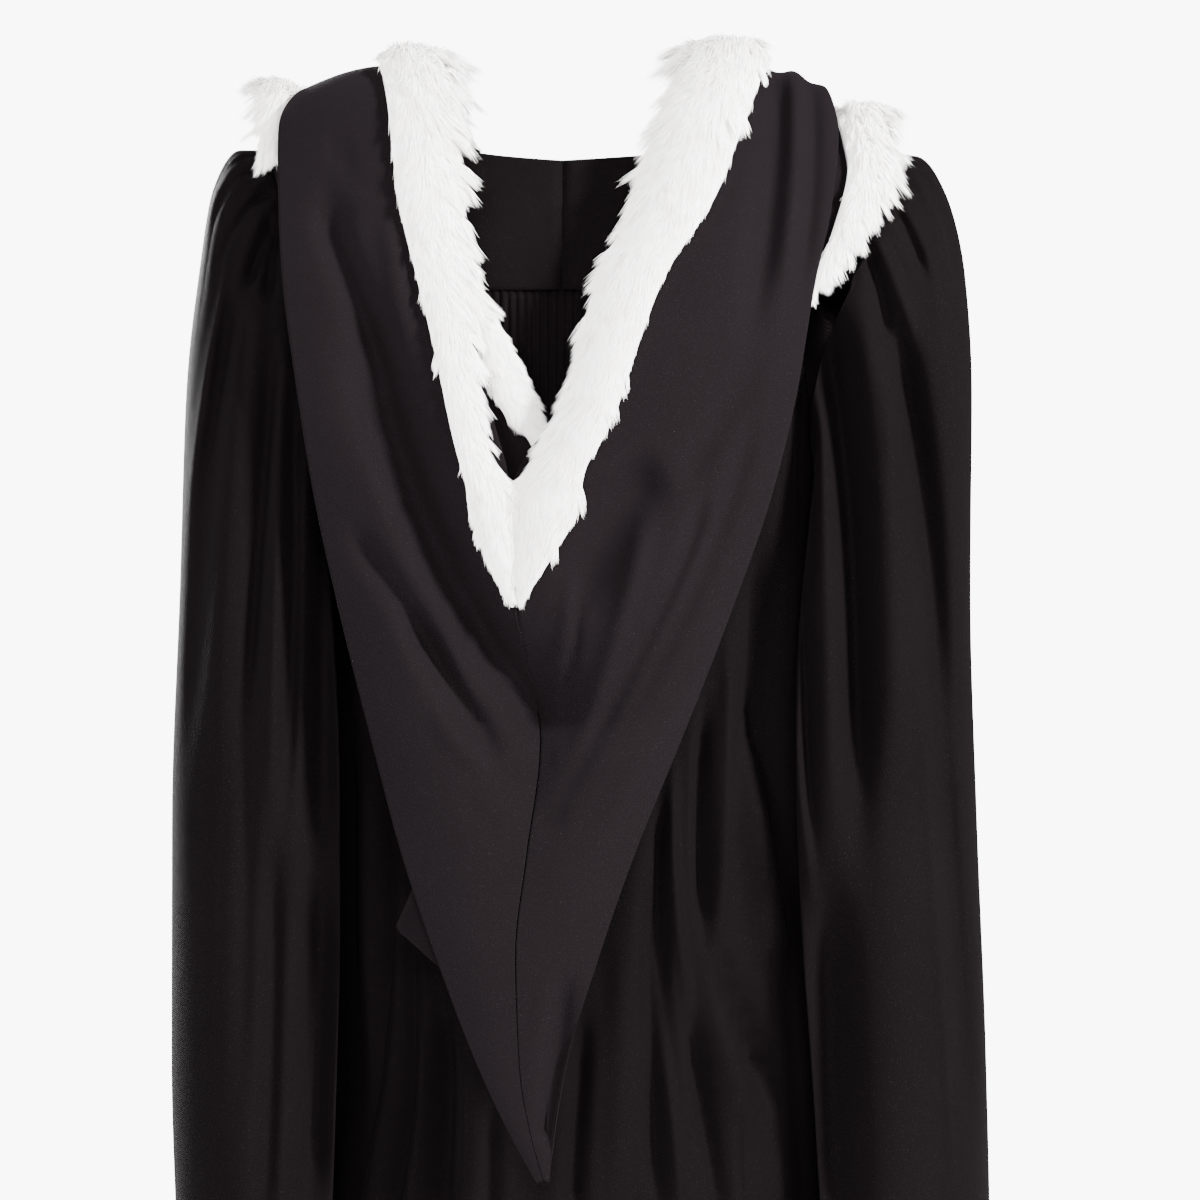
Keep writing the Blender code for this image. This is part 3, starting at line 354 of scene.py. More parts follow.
BACK_CREASES = [
    Crease(0.168, -0.451, 0.174, -0.555, 0.186, -0.717, 0.01, 0.006),
    Crease(0.146, -0.522, 0.152, -0.659, 0.168, -0.838, 0.009, 0.007),
    Crease(0.127, -0.655, 0.127, -0.742, 0.136, -0.838, 0.007, 0.006),
    Crease(0.090, -0.697, 0.087, -0.763, 0.088, -0.838, 0.007, 0.006),
    Crease(0.195, -0.410, 0.198, -0.597, 0.201, -0.838, 0.014, -0.022),
    Crease(0.158, -0.464, 0.161, -0.597, 0.176, -0.838, 0.006, -0.012),
    Crease(0.140, -0.588, 0.140, -0.721, 0.151, -0.838, 0.007, -0.013),
    Crease(0.110, -0.647, 0.107, -0.742, 0.112, -0.838, 0.013, -0.02),
    Crease(0.068, -0.721, 0.068, -0.784, 0.068, -0.838, 0.01, -0.012),
    Crease(0.195, -0.264, 0.191, -0.347, 0.182, -0.430, 0.01, -0.012),
    Crease(0.124, -0.410, 0.141, -0.597, 0.153, -0.838, 0.06, -0.024),
    Crease(-0.119, -0.368, -0.117, -0.472, -0.112, -0.601, 0.0065, 0.009),
    Crease(-0.103, -0.414, -0.099, -0.514, -0.103, -0.613, 0.006, -0.015),
    Crease(-0.078, -0.460, -0.077, -0.563, -0.094, -0.676, 0.005, 0.007),
    Crease(-0.067, -0.497, -0.067, -0.597, -0.082, -0.763, 0.006, -0.012),
    Crease(-0.131, -0.464, -0.150, -0.563, -0.156, -0.626, 0.016, 0.011),
    Crease(-0.144, -0.405, -0.162, -0.522, -0.183, -0.626, 0.01, -0.017),
    Crease(-0.107, -0.611, -0.133, -0.672, -0.165, -0.728, 0.008, -0.017),
    Crease(-0.102, -0.647, -0.121, -0.705, -0.150, -0.763, 0.012, 0.009),
    Crease(-0.173, -0.622, -0.180, -0.697, -0.181, -0.759, 0.008, 0.007),
    Crease(-0.086, -0.655, -0.103, -0.742, -0.119, -0.838, 0.006, -0.01),
    Crease(-0.036, -0.588, -0.035, -0.701, -0.033, -0.838, 0.012, 0.007),
    Crease(-0.057, -0.547, -0.060, -0.680, -0.067, -0.838, 0.008, -0.014),
    Crease(-0.071, -0.588, -0.075, -0.721, -0.084, -0.838, 0.006, 0.006),
    Crease(-0.007, -0.655, -0.002, -0.742, 0.002, -0.838, 0.009, -0.014),
    Crease(-0.125, -0.742, -0.129, -0.784, -0.130, -0.838, 0.0025, -0.003),
    Crease(-0.146, -0.281, -0.146, -0.389, -0.141, -0.464, 0.012, -0.018),
    Crease(-0.152, -0.763, -0.156, -0.805, -0.160, -0.838, 0.012, 0.005),
]


def read(table, name, at, key=None):
    """One column of a table between its rows, on a curve that never overshoots them. Rows are numbered
    unless a key column is named."""
    keys = np.array([getattr(row, key) for row in table] if key else range(len(table)), float)
    values = np.array([getattr(row, name) for row in table], float)
    step = np.diff(keys)
    slope = np.diff(values) / step
    before, after = slope[:-1], slope[1:]
    total = np.where(before + after == 0, 1, before + after)
    middle = np.where(before * after > 0, 2 * before * after / total, 0)
    tangent = np.concatenate([[slope[0]], middle, [slope[-1]]])
    at = np.asarray(at, float)
    i = np.clip(np.searchsorted(keys, at, side="right") - 1, 0, len(step) - 1)
    t = np.clip((at - keys[i]) / step[i], 0, 1)
    return (
        values[i] * (1 + 2 * t) * (1 - t) ** 2
        + tangent[i] * step[i] * t * (1 - t) ** 2
        + values[i + 1] * t**2 * (3 - 2 * t)
        - tangent[i + 1] * step[i] * t**2 * (1 - t)
    )


def ease(value, start, end):
    """0 before start, 1 after end and a smooth rise between."""
    t = np.clip((value - start) / (end - start), 0, 1)
    return t * t * (3 - 2 * t)


def form_point(angle, z, out=0.0):
    """Points on the wearer's padded form at angles and heights, moved out level by that much."""
    angle, z = np.broadcast_arrays(np.asarray(angle, float), np.asarray(z, float))
    width = read(FORM, "half_width", z, "z")
    depth = np.where(np.cos(angle) >= 0, read(FORM, "back", z, "z"), read(FORM, "front", z, "z"))
    sine, cosine = np.sin(angle), np.cos(angle)
    across = np.sign(sine) * np.abs(sine) ** (2 / SQUARENESS)
    deep = np.sign(cosine) * np.abs(cosine) ** (2 / SQUARENESS)
    normal_x = np.sign(sine) * np.abs(across) ** (SQUARENESS - 1) / width
    normal_y = np.sign(cosine) * np.abs(deep) ** (SQUARENESS - 1) / depth
    length = np.hypot(normal_x, normal_y)
    x = width * across + out * normal_x / length
    y = depth * deep + out * normal_y / length
    return np.stack([x, y, z], axis=-1)


def even_angles(z, first, last, count):
    """Angles that split the form's outline at a height into equal lengths."""
    fine = np.linspace(first, last, 2161)
    points = form_point(fine, z)
    length = np.concatenate([[0], np.cumsum(np.linalg.norm(np.diff(points, axis=0), axis=1))])
    return np.interp(np.linspace(0, length[-1], count), length, fine)


def crease_relief(creases, x, z):
    """How far folds push the cloth out at points seen from behind. Each fades towards its ends."""
    relief = np.zeros(x.shape)
    t = np.linspace(0, 1, 33)
    for crease in creases:
        bend_x = 2 * crease.x_mid - (crease.x_top + crease.x_low) / 2
        bend_z = 2 * crease.z_mid - (crease.z_top + crease.z_low) / 2
        line_x = (1 - t) ** 2 * crease.x_top + 2 * t * (1 - t) * bend_x + t**2 * crease.x_low
        line_z = (1 - t) ** 2 * crease.z_top + 2 * t * (1 - t) * bend_z + t**2 * crease.z_low
        best = np.full(x.shape, np.inf)
        place = np.zeros(x.shape)
        for i in range(len(t) - 1):
            run_x, run_z = line_x[i + 1] - line_x[i], line_z[i + 1] - line_z[i]
            share = ((x - line_x[i]) * run_x + (z - line_z[i]) * run_z) / (run_x**2 + run_z**2)
            share = np.clip(share, 0, 1)
            away = np.hypot(x - line_x[i] - share * run_x, z - line_z[i] - share * run_z)
            nearer = away < best
            best = np.where(nearer, away, best)
            place = np.where(nearer, (i + share) / (len(t) - 1), place)
        end = np.minimum(place, 1 - place)
        relief += crease.depth * ease(end, -0.04, 0.25) * np.exp(-((best / crease.half_width) ** 2))
    return relief


def armhole_z(angle, half):
    """Height of the armhole's upper (half 1) or lower (half -1) edge at an angle from the centre back."""
    sine = np.clip((math.pi / 2 - np.abs(angle)) / ARMHOLE_HALF_ANGLE, -1, 1)
    reach = SHOULDER_RISE if half > 0 else -UNDERARM_DROP
    return YOKE_SEAM_Z + reach * np.sqrt(1 - sine**2)


def armhole_point(turn, side):
    """Points round an armhole: turn 0 is the shoulder's tip, a quarter turn the back, a half turn the underarm."""
    angle = math.pi / 2 - ARMHOLE_HALF_ANGLE * np.sin(turn)
    reach = np.where(np.cos(turn) >= 0, SHOULDER_RISE, UNDERARM_DROP)
    return form_point(side * angle, YOKE_SEAM_Z + reach * np.cos(turn))


def grid_normals(points):
    """Unit normals of a grid of points, along rows crossed with columns."""
    normal = np.cross(np.gradient(points, axis=0), np.gradient(points, axis=1))
    return normal / np.maximum(np.linalg.norm(normal, axis=-1, keepdims=True), 1e-12)


def turned_to(points, towards):
    """The grid with its columns reversed if its normals don't face the given way."""
    return points if (grid_normals(points) * towards).sum() > 0 else points[:, ::-1]


def facing(table, rows):
    """The way the hood cloth faces at each row."""
    lean = np.radians(read(table, "lean", rows))
    return np.stack([np.zeros_like(lean), np.cos(lean), np.sin(lean)], axis=-1)[:, None, :]


def grid_mesh(name, points, ring=False):
    """A mesh of quads over a grid of points, smooth shaded."""
    rows, columns = points.shape[:2]
    index = np.arange(rows * columns).reshape(rows, columns)
    if ring:
        index = np.concatenate([index, index[:, :1]], axis=1)
    a, b, c, d = index[:-1, :-1], index[1:, :-1], index[1:, 1:], index[:-1, 1:]
    faces = np.stack([a, b, c, d], axis=-1).reshape(-1, 4)
    mesh = bpy.data.meshes.new(name)
    mesh.vertices.add(rows * columns)
    mesh.vertices.foreach_set("co", points.reshape(-1).astype(np.float32))
    mesh.loops.add(faces.size)
    mesh.loops.foreach_set("vertex_index", faces.reshape(-1).astype(np.int32))
    mesh.polygons.add(len(faces))
    mesh.polygons.foreach_set("loop_start", np.arange(0, faces.size, 4, dtype=np.int32))
    mesh.update(calc_edges=True)
    mesh.validate()
    mesh.shade_smooth()
    return mesh


def cloth_piece(context, name, points, material, node, ring=False, wall=None):
    """A shell of cloth over a grid, its outer face on the grid, in place of a solid."""
    mesh = grid_mesh(name, points, ring)
    mesh.materials.append(material)
    thing = bpy.data.objects.new(name, mesh)
    context.scene.collection.objects.link(thing)
    solid = thing.modifiers.new("wall", "SOLIDIFY")
    solid.thickness = wall or context.scene.gown.cloth
    solid.offset = -1
    solid.use_even_offset = False
    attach(thing, "root")
    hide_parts(node)
    return thing


def flat_area(points, ring=False):
    """The area of a grid of points, which is the area of the cloth cut for it."""
    if ring:
        points = np.concatenate([points, points[:, :1]], axis=1)
    one = np.cross(points[1:, :-1] - points[:-1, :-1], points[:-1, 1:] - points[:-1, :-1])
    two = np.cross(points[1:, 1:] - points[1:, :-1], points[1:, 1:] - points[:-1, 1:])
    return float((np.linalg.norm(one, axis=-1) + np.linalg.norm(two, axis=-1)).sum() / 2)


def new_material(name):
    material = bpy.data.materials.new(name)
    material.use_nodes = True
    tree = material.node_tree
    return material, tree, tree.nodes["Principled BSDF"]


def node(tree, kind, **values):
    """A node with its properties and its sockets' values set."""
    made = tree.nodes.new(kind)
    for name, value in values.items():
        if name.startswith("in_"):
            made.inputs[name[3:].replace("_", " ")].default_value = value
        else:
            setattr(made, name, value)
    return made


def cloth_material(name, colour, deep, shine, sheen, weave_strength, wrinkle_strength):
    """Fine black twill: two dark tones, soft wrinkles, a diagonal weave in the bump and a little sheen."""
    material, tree, shader = new_material(name)
    link = tree.links.new
    place = node(tree, "ShaderNodeTexCoord").outputs["Object"]
    blotch = node(tree, "ShaderNodeTexNoise", in_Scale=7.0, in_Detail=4.0, in_Roughness=0.6)
    link(place, blotch.inputs["Vector"])
    tones = node(tree, "ShaderNodeMix", data_type="RGBA")
    tones.inputs["A"].default_value = (*colour, 1)
    tones.inputs["B"].default_value = (*deep, 1)
    link(blotch.outputs["Fac"], tones.inputs["Factor"])
    lint = node(tree, "ShaderNodeTexNoise", in_Scale=900.0, in_Detail=2.0)
    link(place, lint.inputs["Vector"])
    specks = node(tree, "ShaderNodeMapRange")
    specks.inputs["From Min"].default_value = 0.62
    specks.inputs["From Max"].default_value = 0.80
    specks.inputs["To Max"].default_value = 0.16
    link(lint.outputs["Fac"], specks.inputs["Value"])
    dusted = node(tree, "ShaderNodeMix", data_type="RGBA")
    dusted.inputs["B"].default_value = (0.03, 0.027, 0.03, 1)
    link(specks.outputs["Result"], dusted.inputs["Factor"])
    link(tones.outputs["Result"], dusted.inputs["A"])
    link(dusted.outputs["Result"], shader.inputs["Base Color"])
    wrinkle = node(tree, "ShaderNodeTexNoise", in_Scale=26.0, in_Detail=3.0, in_Roughness=0.5)
    link(place, wrinkle.inputs["Vector"])
    soft = node(tree, "ShaderNodeBump", in_Strength=wrinkle_strength, in_Distance=0.004)
    link(wrinkle.outputs["Fac"], soft.inputs["Height"])
    twist = node(tree, "ShaderNodeMapping")
    twist.inputs["Rotation"].default_value = (0, math.radians(52), 0)
    link(place, twist.inputs["Vector"])
    twill = node(tree, "ShaderNodeTexWave", in_Scale=260.0, in_Distortion=1.2, in_Detail=2.0)
    twill.inputs["Detail Scale"].default_value = 3.0
    link(twist.outputs["Vector"], twill.inputs["Vector"])
    weave = node(tree, "ShaderNodeBump", in_Strength=weave_strength, in_Distance=0.0004)
    link(twill.outputs["Fac"], weave.inputs["Height"])
    link(soft.outputs["Normal"], weave.inputs["Normal"])
    link(weave.outputs["Normal"], shader.inputs["Normal"])
    shader.inputs["Roughness"].default_value = 0.85
    shader.inputs["Specular IOR Level"].default_value = shine
    shader.inputs["Sheen Weight"].default_value = sheen
    shader.inputs["Sheen Roughness"].default_value = 0.45
    shader.inputs["Sheen Tint"].default_value = (0.80, 0.70, 0.82, 1)
    return material


def fur_material(name, colour, shade):
    """White hair with faint warm and cool clumps."""
    material, tree, shader = new_material(name)
    link = tree.links.new
    place = node(tree, "ShaderNodeTexCoord").outputs["Object"]
    clump = node(tree, "ShaderNodeTexNoise", in_Scale=60.0, in_Detail=3.0, in_Roughness=0.6)
    link(place, clump.inputs["Vector"])
    ramp = node(tree, "ShaderNodeMapRange")
    ramp.inputs["From Min"].default_value = 0.35
    ramp.inputs["From Max"].default_value = 0.70
    link(clump.outputs["Fac"], ramp.inputs["Value"])
    tones = node(tree, "ShaderNodeMix", data_type="RGBA")
    tones.inputs["A"].default_value = (*colour, 1)
    tones.inputs["B"].default_value = (*shade, 1)
    link(ramp.outputs["Result"], tones.inputs["Factor"])
    link(tones.outputs["Result"], shader.inputs["Base Color"])
    shader.inputs["Roughness"].default_value = 0.85
    shader.inputs["Specular IOR Level"].default_value = 0.25
    shader.inputs["Sheen Weight"].default_value = 0.15
    shader.inputs["Sheen Roughness"].default_value = 0.6
    return material


def gown_cloth(context):
    tones = context.scene.gown
    return bpy.data.materials.get("gown_twill") or cloth_material(
        "gown_twill", tones.gown_colour, tones.gown_shade, 0.010, 0.004, 0.5, 0.18
    )


def hood_cloth(context):
    tones = context.scene.gown
    return bpy.data.materials.get("hood_twill") or cloth_material(
        "hood_twill", tones.hood_colour, tones.hood_shade, 0.020, 0.008, 0.5, 0.16
    )


def white_fur(context):
    tones = context.scene.gown
    return bpy.data.materials.get("white_fur_hair") or fur_material("white_fur_hair", tones.fur_colour, tones.fur_shade)


def yoke_half(side):
    """One half of the yoke, from the centre back seam over the shoulder to the front edge."""
    base = np.radians(np.concatenate([
        np.linspace(0, 57, 40, endpoint=False), np.linspace(57, 123, 49), np.linspace(123, 150, 16)[1:],
    ]))
    neck = read(NECKLINE, "z", np.degrees(base), "degrees")
    outer = np.full(len(base), YOKE_SEAM_Z - LAP)
    near_arm = np.abs(base - math.pi / 2) < ARMHOLE_HALF_ANGLE
    outer[near_arm] = armhole_z(base[near_arm], 1)
    z = neck + (outer - neck) * np.linspace(0, 1, 30)[:, None]
    back_of_front, last = np.radians(123), np.radians(150)
    edge = math.pi - np.arcsin((FRONT_EDGE_X / read(FORM, "half_width", z, "z")) ** (SQUARENESS / 2))
    spread = np.clip((base - back_of_front) / (last - back_of_front), 0, 1)
    angle = np.where(spread > 0, back_of_front + (edge - back_of_front) * spread, base)
    points = form_point(side * angle, z, 0.0007 * np.exp(-((z - outer) / 0.004) ** 2))
    # the halves dip to the centre seam, which sits a little to the wearer's left behind, as in the photograph
    dip = np.exp(-((points[..., 0] / 0.0016) ** 2))
    points[..., 1] -= 0.0012 * dip
    points[..., 0] = np.where(base == 0, -side * 0.0003, points[..., 0])
    points[..., 1] += 0.0018 * np.sin(points[..., 0] * 60 + z * 45) * ease(-z, 0.01, 0.05) * (1 - dip)
    points[..., 0] += SEAM_SHIFT * np.exp(-((points[..., 0] / 0.06) ** 2)) * (points[..., 1] > 0)
    return points


def back_panel():
    """The full back, gathered to the yoke and hanging to the hem."""
    gathers = 2 * GATHERS_PER_SIDE
    last = math.pi / 2 - ARMHOLE_HALF_ANGLE
    fine = even_angles(YOKE_SEAM_Z, -last, last, 6 * gathers + 1)
    # the last column of each side is tucked under the front
    side = np.append(np.linspace(last, math.pi / 2 - SIDE_SEAM_GAP, 19)[1:], math.pi / 2 + SIDE_TUCK)
    angle = np.concatenate([-side[::-1], fine, side])
    number = np.linspace(0, gathers, len(fine))
    rng = np.random.default_rng(5)
    uneven = np.interp(number, np.arange(gathers + 1), 1 + 0.25 * rng.standard_normal(gathers + 1))
    pleat = (1.7 * np.abs(np.sin(math.pi * number)) ** 0.75 - 1) * np.clip(uneven, 0.5, 1.4)
    gather = np.concatenate([np.zeros(len(side)), pleat, np.zeros(len(side))])
    top = np.full(len(angle), YOKE_SEAM_Z - SEAM_GAP / 2)
    beside_arm = np.abs(angle) > last
    top[beside_arm] = armhole_z(angle[beside_arm], -1)
    share = np.concatenate([np.linspace(0, 0.12, 16)[:-1], np.linspace(0.12, 1, 52)])
    z = top + (HEM_Z - top) * share[:, None]
    flat = form_point(angle, z)
    wander = 0.03 * np.sin(11 * angle) + 0.02 * np.sin(29 * angle)
    melt = 1 - ease(-z, 0.15 + wander, 0.28 + wander)
    relief = 0.0017 * gather * melt - 0.0017
    relief = relief - 0.0010 * np.exp(-((z - top) / 0.003) ** 2)
    folds = crease_relief(BACK_CREASES, flat[..., 0], z)
    behind = np.clip(np.cos(angle), 0, 1)
    relief = relief + folds * behind**0.5 - 0.002 * ease(-z, 0.30, 0.45) * behind**0.3
    sway = 0.003 * np.sin(angle * 21 + 2.2 * np.sin(z * 5)) * ease(-z, 0.25, 0.6) * behind**0.3
    sway[:, [0, -1]] -= 0.0012
    points = form_point(angle, z, relief + sway)
    points[-1, :, 2] += 0.002 * np.sin(angle * 17)
    return points


def front_panel(side):
    """One front, from the side seam to its open front edge, with a few soft hanging folds."""
    columns = 84
    share_round = np.linspace(0, 1, columns)
    share = np.linspace(0, 1, 64)
    levels = YOKE_SEAM_Z + (HEM_Z - YOKE_SEAM_Z) * share
    edge = math.pi - np.arcsin((FRONT_EDGE_X / read(FORM, "half_width", levels, "z")) ** (SQUARENESS / 2))
    start = math.pi / 2 + SIDE_SEAM_GAP
    top_angle = start + (edge[0] - start) * share_round
    top = np.full(columns, YOKE_SEAM_Z - SEAM_GAP / 2)
    beside_arm = top_angle < math.pi / 2 + ARMHOLE_HALF_ANGLE
    top[beside_arm] = armhole_z(top_angle[beside_arm], -1)
    z = top + (HEM_Z - top) * share[:, None]
    angle = start + (edge[:, None] - start) * share_round
    hang = ease(-z, 0.16, 0.80)
    bend = share_round + 0.05 * np.sin(z * 6 + side)
    waves = 0.006 * np.sin(bend * 4.5 * 2 * math.pi) + 0.003 * np.sin(bend * 7.3 * 2 * math.pi + side)
    hem = 0.0014 * np.exp(-(((share_round - 0.955) / 0.012) ** 2))
    return form_point(side * angle, z, waves * hang * np.sin(share_round * math.pi) ** 0.5 - 0.0005 - hem)


def lapped(turn, number, lap):
    """How far a sleeve ring's rear lobe reaches in over the back. It fades out below the elbow."""
    rear = np.clip(np.sin(turn), 0, 1)
    return lap * ease(number, -0.5, 1) * (1 - ease(number, 4, 7.5)) * rear * (1 - np.cos(turn)) / 2


def clear_of_back(x, y, z, turn):
    """Keep a sleeve's rear lobe just behind the back panel."""
    rear = np.clip(np.sin(turn), 0, 1)
    width, depth = read(FORM, "half_width", z, "z"), read(FORM, "back", z, "z")
    behind = depth * np.clip(1 - (np.abs(x) / width) ** SQUARENESS, 0, 1) ** (1 / SQUARENESS)
    return np.where((rear > 0.02) & (behind > 0), np.maximum(y, behind + LAP_CLEARANCE * np.sqrt(rear)), y)


def sleeve_points(rings, folds, side, columns, rows):
    """Rings of a sleeve from the armhole down to the cuff. Turn 0 is the outer side, a quarter turn the back."""
    # three columns in four are behind, where the folds show
    rear_columns = columns * 3 // 4
    turn = np.concatenate([
        np.linspace(0, math.pi, rear_columns, endpoint=False),
        np.linspace(math.pi, 2 * math.pi, columns - rear_columns, endpoint=False),
    ])
    hole = armhole_point(turn, side)
    away = hole - hole.mean(axis=0)
    away[:, 0] = 0
    away /= np.linalg.norm(away, axis=1, keepdims=True)
    head = hole - away * LAP - np.array([side * 0.0020, 0, 0])
    swing, rear = np.cos(turn), np.sin(turn)
    rng = np.random.default_rng(9 if side > 0 else 10)
    knots = np.linspace(0, 2 * math.pi, 37)
    uneven = np.interp(turn, knots, 1 + 0.35 * rng.standard_normal(37))
    reach = np.interp(turn, knots, 1 + 0.45 * rng.random(37))
    gather = 1.7 * np.abs(np.sin(SLEEVE_GATHERS * turn / 2)) ** 0.8 - 1
    at = np.concatenate([np.linspace(0, 1, rows // 4, endpoint=False), np.linspace(1, len(rings) - 1, rows - rows // 4)])
    result = [head]
    for number in at:
        x_out, z_out, x_in, z_in, half = (float(read(rings, name, number)) for name in Ring._fields)
        x = (x_out + x_in) / 2 + (x_out - x_in) / 2 * swing
        z = (z_out + z_in) / 2 + (z_out - z_in) / 2 * swing
        y = half * rear
        normal = np.stack([side * swing * half, (x_out - x_in) / 2 * rear], axis=-1)
        normal /= np.linalg.norm(normal, axis=1, keepdims=True)
        wrap = np.where(rear > 0, WRAP_BACK, WRAP_FRONT) * ease(number, -0.5, 1.5)
        width = read(FORM, "half_width", z, "z")
        depth = np.where(y >= 0, read(FORM, "back", z, "z"), read(FORM, "front", z, "z")) + WRAP_CLEARANCE
        body = width * np.clip(1 - np.abs(y / depth) ** SQUARENESS, 0, 1) ** (1 / SQUARENESS)
        x = x - np.minimum(width - body, wrap) * (1 - swing) / 2
        x = x - lapped(turn, number, LEFT_LAP if side > 0 else RIGHT_LAP)
        y = y + crease_relief(folds, side * x, z) * np.clip(rear, 0, 1) ** 0.5
        y = clear_of_back(x, y, z, turn)
        fade = np.clip(1 - number / (3.2 * reach), 0, 1) ** 1.5
        gathered = 0.0026 * gather * uneven * fade * np.clip(0.6 + swing, 0, 1)
        hang = min(1, number / 5)
        waves = 0.005 * np.sin(7 * turn + 0.8 * side + 0.5 * np.sin(number)) + 0.003 * np.sin(12 * turn + number * 0.4)
        waves = waves * hang * np.clip(-rear, 0, 1)
        points = np.stack([side * x, y, z], axis=-1)
        points[:, :2] += normal * (gathered + waves)[:, None]
        result.append(points)
    return np.array(result)


def hood_points(table, across, rows, underturn=0.0, creases=()):
    """Points of a hood cloth at shares across (0 inner edge, 1 outer edge) and at row positions along it.
    Shares from 1 to 2 go round the turned-under edge."""
    along = np.asarray(rows, float)[:, None]
    across = np.asarray(across, float)
    value = {name: read(table, name, along) for name in Row._fields}
    inner = np.stack([value["x_in"], value["y_in"], value["z_in"]], axis=-1)
    outer = np.stack([value["x_out"], value["y_out"], value["z_out"]], axis=-1)
    share = across if across.ndim == 2 else across[None, :]
    on_face = np.clip(share, -1, 1)[..., None]
    points = inner + (outer - inner) * on_face
    lean = np.radians(value["lean"])[..., None]
    out = np.concatenate([np.zeros_like(lean), np.cos(lean), np.sin(lean)], axis=-1)
    rise = value["crown"][..., None] * np.sin(np.clip(on_face, -0.3, 1) * math.pi)
    past = np.clip(share - 1, 0, None)[..., None]
    width = np.linalg.norm(outer - inner, axis=-1, keepdims=True)
    turned = ease(along, 2.5, 7)[..., None]
    tuck = np.minimum(underturn, 0.35 * width) * (0.3 + 0.7 * turned)
    drop = UNDERTURN_DROP * tuck / UNDERTURN * turned + 0.003 * (tuck > 0)
    inward = (inner - outer) / width
    folds = crease_relief(creases, points[..., 0], points[..., 2]) * ease(points[..., 1], -0.02, 0.03)
    rise = rise + folds[..., None] * np.sin(np.clip(on_face, 0, 1) * math.pi) ** 0.35
    above = points[..., 2:] - POCKET_Z
    pocket = np.exp(-((above / np.where(above > 0, 0.045, 0.015)) ** 2))
    rise = rise - POCKET_DEPTH * pocket * np.clip(1 - on_face, 0, 1) ** 2
    return points + out * (rise - drop * np.sin(past * math.pi / 2)) + inward * tuck * (1 - np.cos(past * math.pi / 2))


def band_grid(table, stations, at_outer, creases, rows, columns, inset, joined_from):
    """A fur band on its cloth: points, normals, pile and the ways along and across it. Its columns start at
    the free edge. Inset leaves room for the hair past each side, up to the row where two bands are joined."""
    at = np.linspace(stations[0].row, stations[-1].row, rows)
    width = read(stations, "width", at, "row")[:, None]
    over = read(stations, "over", at, "row")[:, None]
    pile = read(stations, "pile", at, "row")[:, None]
    inset = np.minimum(inset, 0.30 * width)
    free = inset * (1 - ease(at[:, None], joined_from - 0.4, joined_from))
    inner = np.stack([read(table, f"{axis}_in", at) for axis in "xyz"], axis=-1)
    outer = np.stack([read(table, f"{axis}_out", at) for axis in "xyz"], axis=-1)
    breadth = np.linalg.norm(outer - inner, axis=-1)[:, None]
    share = np.linspace(0, 1, columns)[None, :]
    reach = (share * (width - free - 0.7 * inset) + free - over) / breadth
    across = 1 - reach if at_outer else reach
    points = hood_points(table, np.clip(across, -1, 1), at, creases=creases)
    if at_outer:
        points = points + np.clip(across - 1, 0, None)[..., None] * (outer - inner)[:, None, :]
    out = facing(table, at)
    normals = grid_normals(points)
    normals = normals * np.sign((normals * out).sum(axis=-1, keepdims=True))
    along = np.gradient(points, axis=0)
    along /= np.maximum(np.linalg.norm(along, axis=-1, keepdims=True), 1e-9)
    sideways = np.gradient(points, axis=1)
    sideways /= np.maximum(np.linalg.norm(sideways, axis=-1, keepdims=True), 1e-9)
    return points, normals, pile, along, sideways, at


Band = namedtuple("Band", "hairs lean_in lift length flop joined_from")


